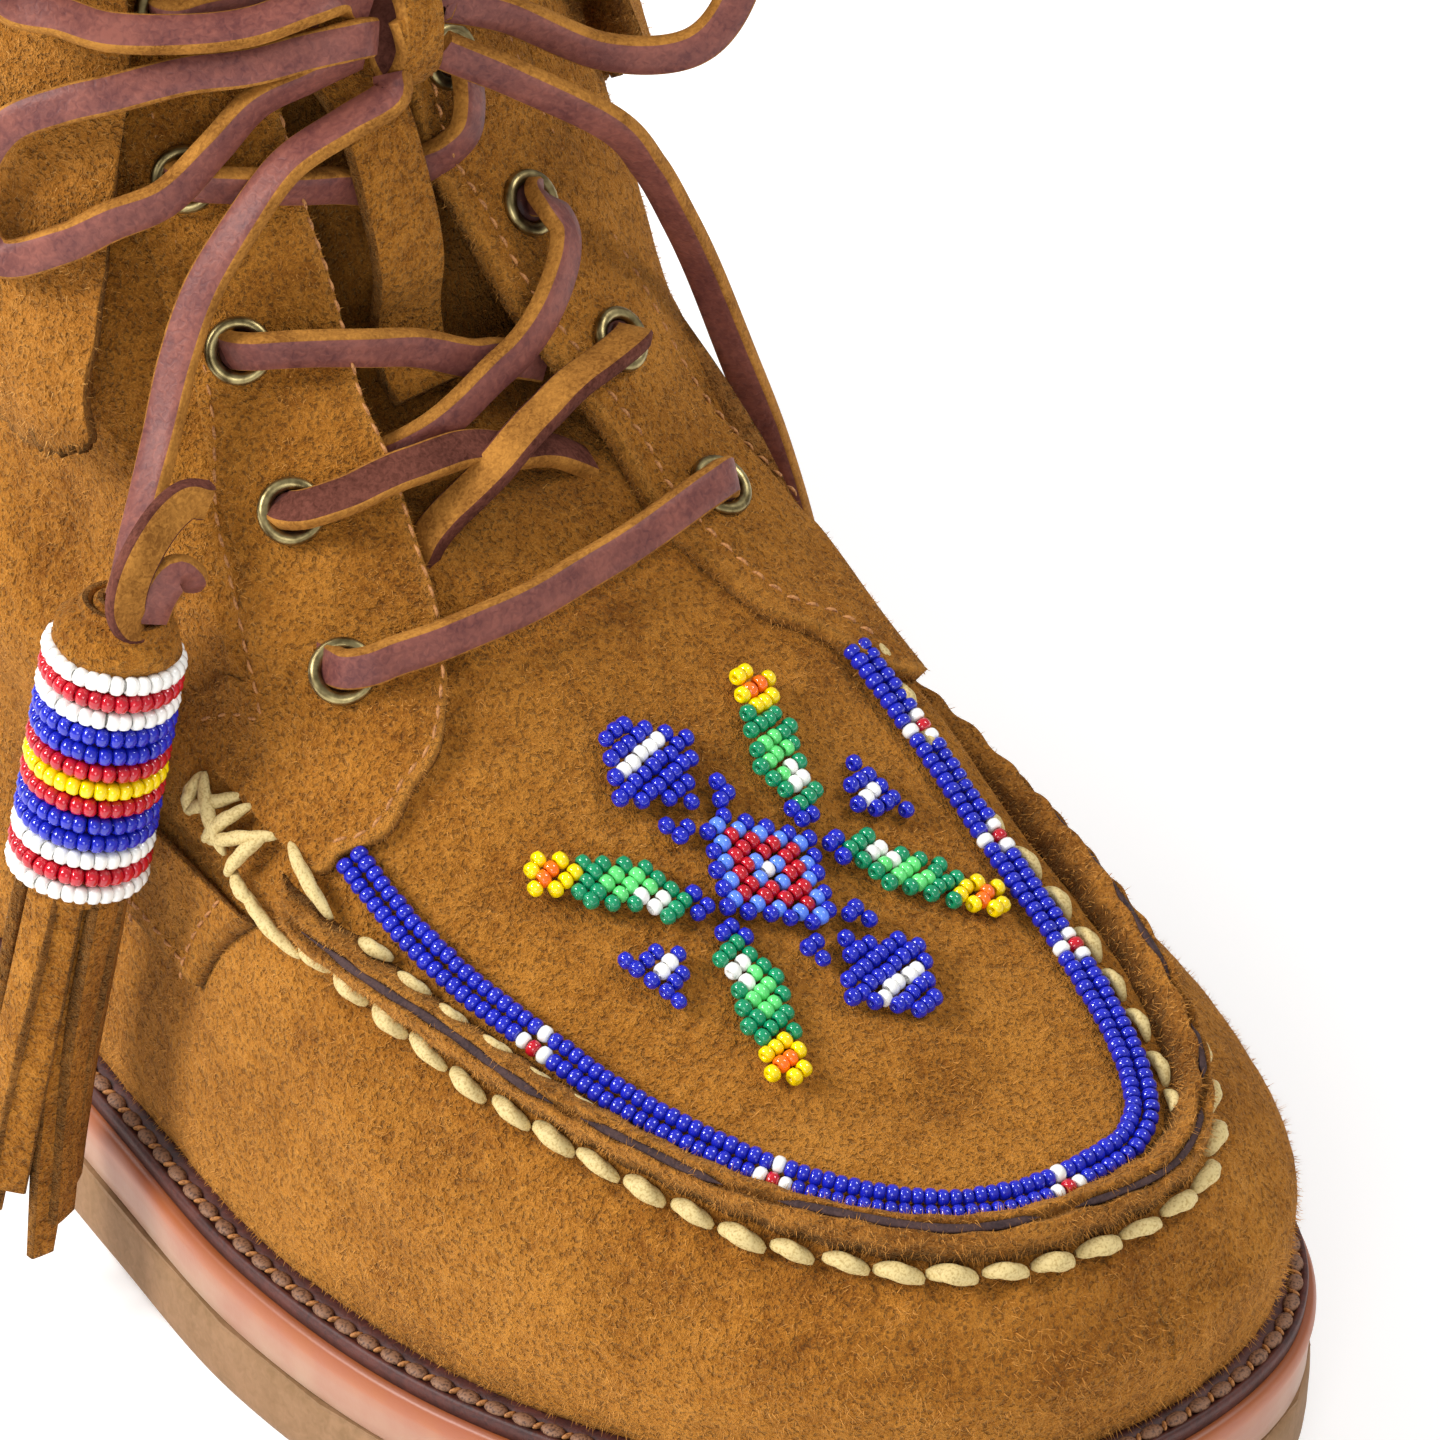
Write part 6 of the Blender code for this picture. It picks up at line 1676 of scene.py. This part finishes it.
def make_nap(sizes):
    """Loose fibre tips standing off the suede, as slivers that each have one face."""
    rng = np.random.default_rng(33)
    for name, share, scale in NAP:
        mesh = bpy.data.objects[name].data
        mesh.calc_loop_triangles()
        corners = np.empty(len(mesh.loop_triangles) * 3, np.int32)
        mesh.loop_triangles.foreach_get("vertices", corners)
        places = np.empty(len(mesh.vertices) * 3, np.float32)
        mesh.vertices.foreach_get("co", places)
        triangles = places.reshape(-1, 3).astype(float)[corners.reshape(-1, 3)]
        normal = np.cross(triangles[:, 1] - triangles[:, 0], triangles[:, 2] - triangles[:, 0])
        area = np.linalg.norm(normal, axis=1)
        middle = triangles.mean(1)
        weight = area * np.where(middle[:, 1] < NAP_REAR, 1.0, NAP_REAR_SHARE)
        chosen = rng.choice(len(triangles), int(sizes.fibre_count * share), p=weight / weight.sum())
        a, b = rng.uniform(0, 1, (2, len(chosen), 1))
        over = a + b > 1
        a, b = np.where(over, 1 - a, a), np.where(over, 1 - b, b)
        first = triangles[chosen, 0]
        root = first + a * (triangles[chosen, 1] - first) + b * (triangles[chosen, 2] - first)
        out = unit(normal[chosen])
        lean = rng.normal(0, 1, (len(chosen), 3)) + np.array([0.0, 0.2, -0.9])
        toe = np.clip((-root[:, 1] - 0.09) / 0.05, 0, 1)
        way = unit(out * rng.uniform(*FIBRE_RISE, (len(chosen), 1)) + lean * 0.55)
        length = rng.uniform(*FIBRE_LENGTH, len(chosen)) * (1 + 0.6 * toe) * scale * MM
        side = unit(np.cross(way, out)) * (rng.uniform(*FIBRE_WIDTH, (len(chosen), 1)) * MM)
        tip = root + way * length[:, None]
        verts = np.stack([root - side, root + side, tip], 1).reshape(-1, 3)
        fibres = bpy.data.meshes.new(f"{name}_fibres")
        fibres.from_pydata(verts, [], np.arange(len(verts)).reshape(-1, 3).tolist())
        fibres.update()
        kind = MADE["flap fibres"] if name == "cuff_flap" else MADE["fibres"]
        finish_piece(new_object(f"{name}_fibres", fibres, [kind]), [],
                     smooth=False)


# Studio


LAMPS = [
    # place, aim, size, power: the key light from behind the lateral side, then three fills
    ((-0.95, 0.42, 0.85), (-0.02, -0.10, 0.03), 0.52, 18.0),
    ((-0.62, -0.70, 0.42), (-0.02, -0.10, 0.02), 0.45, 2.4),
    ((0.45, -0.35, 0.85), (0.0, -0.10, 0.05), 0.35, 3.6),
    ((-0.2, 0.75, 0.95), (0.0, -0.05, 0.08), 0.40, 3.0),
]
WHITE = (1.0, 1.0, 1.0, 1.0)
FLOOR_HALF, FLOOR_DROP, FLOOR_GLOW = 3.0, 0.0002, 0.24


def link_turned(name, data, place, right, up, back):
    """Links an object at its place, turned to three axes. It looks along its own -Z."""
    obj = bpy.data.objects.new(name, data)
    turned = Matrix([(*row, 0) for row in np.column_stack([right, up, back])] + [(0, 0, 0, 1)])
    obj.matrix_world = Matrix.Translation(place) @ turned
    bpy.context.scene.collection.objects.link(obj)
    return obj


def make_stage(sizes):
    work = bmesh.new()
    bmesh.ops.create_grid(work, x_segments=1, y_segments=1, size=FLOOR_HALF)
    mesh = bpy.data.meshes.new("studio_floor")
    work.to_mesh(mesh)
    work.free()
    mesh.transform(Matrix.Translation((0, 0, -FLOOR_DROP)))
    # The paper glows a little, which keeps it white and leaves only soft shadows
    paper = new_material("white studio paper", **{
        "Roughness": 0.9, "Base Color": (0.93, 0.93, 0.93, 1.0), "Emission Color": WHITE,
        "Emission Strength": FLOOR_GLOW})[0]
    obj = new_object("studio_floor", mesh, [paper])
    world = bpy.data.worlds.new("soft studio")
    bpy.context.scene.world = world
    world.use_nodes = True
    sky = world.node_tree.nodes["Background"].inputs
    sky["Color"].default_value = WHITE
    sky["Strength"].default_value = sizes.sky_strength
    for number, (place, aim, size, power) in enumerate(LAMPS):
        data = bpy.data.lights.new(f"softbox_{number + 1}", "AREA")
        data.shape, data.size, data.energy = "DISK", size, power * sizes.lamp_strength
        back = unit(np.array(place) - np.array(aim))
        right = unit(np.cross((0, 0, 1), back))
        link_turned(f"softbox_{number + 1}", data, place, right, np.cross(back, right), back)
    bpy.context.scene.view_settings.view_transform = "Standard"


def make_camera():
    data = bpy.data.cameras.new("photo_view")
    data.lens, data.sensor_width = 268.66, 36.0
    data.clip_start, data.clip_end = 0.05, 20.0
    bpy.context.scene.camera = link_turned("photo_view", data, CAMERA_PLACE, unit(CAMERA_RIGHT),
                                           unit(CAMERA_UP), unit(CAMERA_BACK))


# Add-on: sizes, one operator for each group of pieces, and a panel


class MuklukSizes(bpy.types.PropertyGroup):
    crease_depth: FloatProperty(name="Crease depth", description="Depth of the suede's creases, as a share",
                                default=1.0, min=0.0, max=2.0)
    bead_scale: FloatProperty(name="Bead size", description="Size of the vamp's seed beads, as a share",
                              default=1.0, min=0.7, max=1.2)
    welt_stitch_pitch: FloatProperty(name="Welt stitch pitch", description="Distance between lock stitches",
                                     default=0.0039, min=0.002, max=0.01, unit="LENGTH", precision=5)
    fibre_count: IntProperty(name="Fibres", description="How many loose fibre tips stand off the suede",
                             default=170000, min=1000, max=300000)
    suede_colour: FloatVectorProperty(name="Suede", description="Light tone of the upper's suede",
                                      subtype="COLOR", size=3, default=linear(SUEDE), min=0.0, max=1.0)
    cuff_colour: FloatVectorProperty(name="Cuff suede", description="Light tone of the cuff's suede",
                                     subtype="COLOR", size=3, default=linear(CUFF_SUEDE), min=0.0, max=1.0)
    lace_colour: FloatVectorProperty(name="Lace", description="Grain side of the lace", subtype="COLOR",
                                     size=3, default=linear(LACE_GRAIN), min=0.0, max=1.0)
    thread_colour: FloatVectorProperty(name="Thread", description="Thick thread of the toe seam",
                                       subtype="COLOR", size=3, default=linear(THREAD), min=0.0, max=1.0)
    lane_bead_colour: FloatVectorProperty(name="Ground beads", description="Beads of the lane's ground",
                                          subtype="COLOR", size=3, default=linear(BEAD_COLOURS["blue"]),
                                          min=0.0, max=1.0)
    sky_strength: FloatProperty(name="Sky strength", description="Strength of the even white light",
                                default=0.43, min=0.0, max=5.0)
    lamp_strength: FloatProperty(name="Lamp strength", description="Strength of the soft boxes, as a share",
                                 default=1.0, min=0.0, max=5.0)


class MuklukStep:
    """Runs a step's makers in order on the scene's sizes."""

    makers = ()

    def execute(self, context):
        for maker in self.makers:
            maker(context.scene.mukluk_sizes)
        return {"FINISHED"}


class MUKLUK_OT_materials(MuklukStep, bpy.types.Operator):
    """Makes the suede, leather, glass, thread and brass."""

    bl_idname = "mukluk.materials"
    bl_label = "Materials"
    makers = (make_materials,)


class MUKLUK_OT_laces(MuklukStep, bpy.types.Operator):
    """Builds the bow, the ends and their tassels."""

    bl_idname = "mukluk.laces"
    bl_label = "Free laces and tassels"
    makers = (make_cords,)


class MUKLUK_OT_upper(MuklukStep, bpy.types.Operator):
    """Builds the suede upper with its creases."""

    bl_idname = "mukluk.upper"
    bl_label = "Upper"
    makers = (make_upper_skin,)


class MUKLUK_OT_seam(MuklukStep, bpy.types.Operator):
    """Builds the rolled seam, its stitches and patches."""

    bl_idname = "mukluk.seam"
    bl_label = "Seam and patches"
    makers = (make_seam, make_patches)


class MUKLUK_OT_facings(MuklukStep, bpy.types.Operator):
    """Builds the facings and brass eyelets."""

    bl_idname = "mukluk.facings"
    bl_label = "Facings and eyelets"
    makers = (make_facings, make_eyelets)


class MUKLUK_OT_tongue(MuklukStep, bpy.types.Operator):
    """Builds the tongue and its keeper strap."""

    bl_idname = "mukluk.tongue"
    bl_label = "Tongue"
    makers = (make_tongue,)


class MUKLUK_OT_cuff(MuklukStep, bpy.types.Operator):
    """Builds the turned-down cuff with its toothed hem."""

    bl_idname = "mukluk.cuff"
    bl_label = "Cuff"
    makers = (make_cuff,)


class MUKLUK_OT_bars(MuklukStep, bpy.types.Operator):
    """Builds the laces across the tongue."""

    bl_idname = "mukluk.bars"
    bl_label = "Lace bars"
    makers = (make_lace_bars,)


class MUKLUK_OT_sole(MuklukStep, bpy.types.Operator):
    """Builds the welt, midsole and outsole."""

    bl_idname = "mukluk.sole"
    bl_label = "Sole"
    makers = (make_sole,)


class MUKLUK_OT_beads(MuklukStep, bpy.types.Operator):
    """Sews the bead lane and the rosette."""

    bl_idname = "mukluk.beads"
    bl_label = "Beadwork"
    makers = (make_beads,)


class MUKLUK_OT_nap(MuklukStep, bpy.types.Operator):
    """Adds loose fibres to the suede."""

    bl_idname = "mukluk.nap"
    bl_label = "Nap"
    makers = (make_nap,)


class MUKLUK_OT_stage(MuklukStep, bpy.types.Operator):
    """Builds the floor and lights."""

    bl_idname = "mukluk.stage"
    bl_label = "Stage"
    makers = (make_stage,)


OPERATORS = (
    MUKLUK_OT_materials, MUKLUK_OT_laces, MUKLUK_OT_upper, MUKLUK_OT_seam, MUKLUK_OT_facings,
    MUKLUK_OT_tongue, MUKLUK_OT_cuff, MUKLUK_OT_bars, MUKLUK_OT_sole, MUKLUK_OT_beads,
    MUKLUK_OT_nap, MUKLUK_OT_stage,
)


class MUKLUK_PT_panel(bpy.types.Panel):
    """Lists the sizes and the steps in order."""

    bl_label = "Mukluk boot"
    bl_idname = "MUKLUK_PT_panel"
    bl_space_type = "VIEW_3D"
    bl_region_type = "UI"
    bl_category = "Mukluk"

    def draw(self, context):
        for name in MuklukSizes.__annotations__:
            self.layout.prop(context.scene.mukluk_sizes, name)
        for made in OPERATORS:
            self.layout.operator(made.bl_idname)


CLASSES = [MuklukSizes, *OPERATORS, MUKLUK_PT_panel]


def register():
    for made in CLASSES:
        bpy.utils.register_class(made)
    bpy.types.Scene.mukluk_sizes = PointerProperty(type=MuklukSizes)


def unregister():
    del bpy.types.Scene.mukluk_sizes
    for made in reversed(CLASSES):
        bpy.utils.unregister_class(made)


def main():
    register()
    make_camera()
    for made in OPERATORS:
        group, step = made.bl_idname.split(".")
        getattr(getattr(bpy.ops, group), step)()


if __name__ == "__main__":
    main()
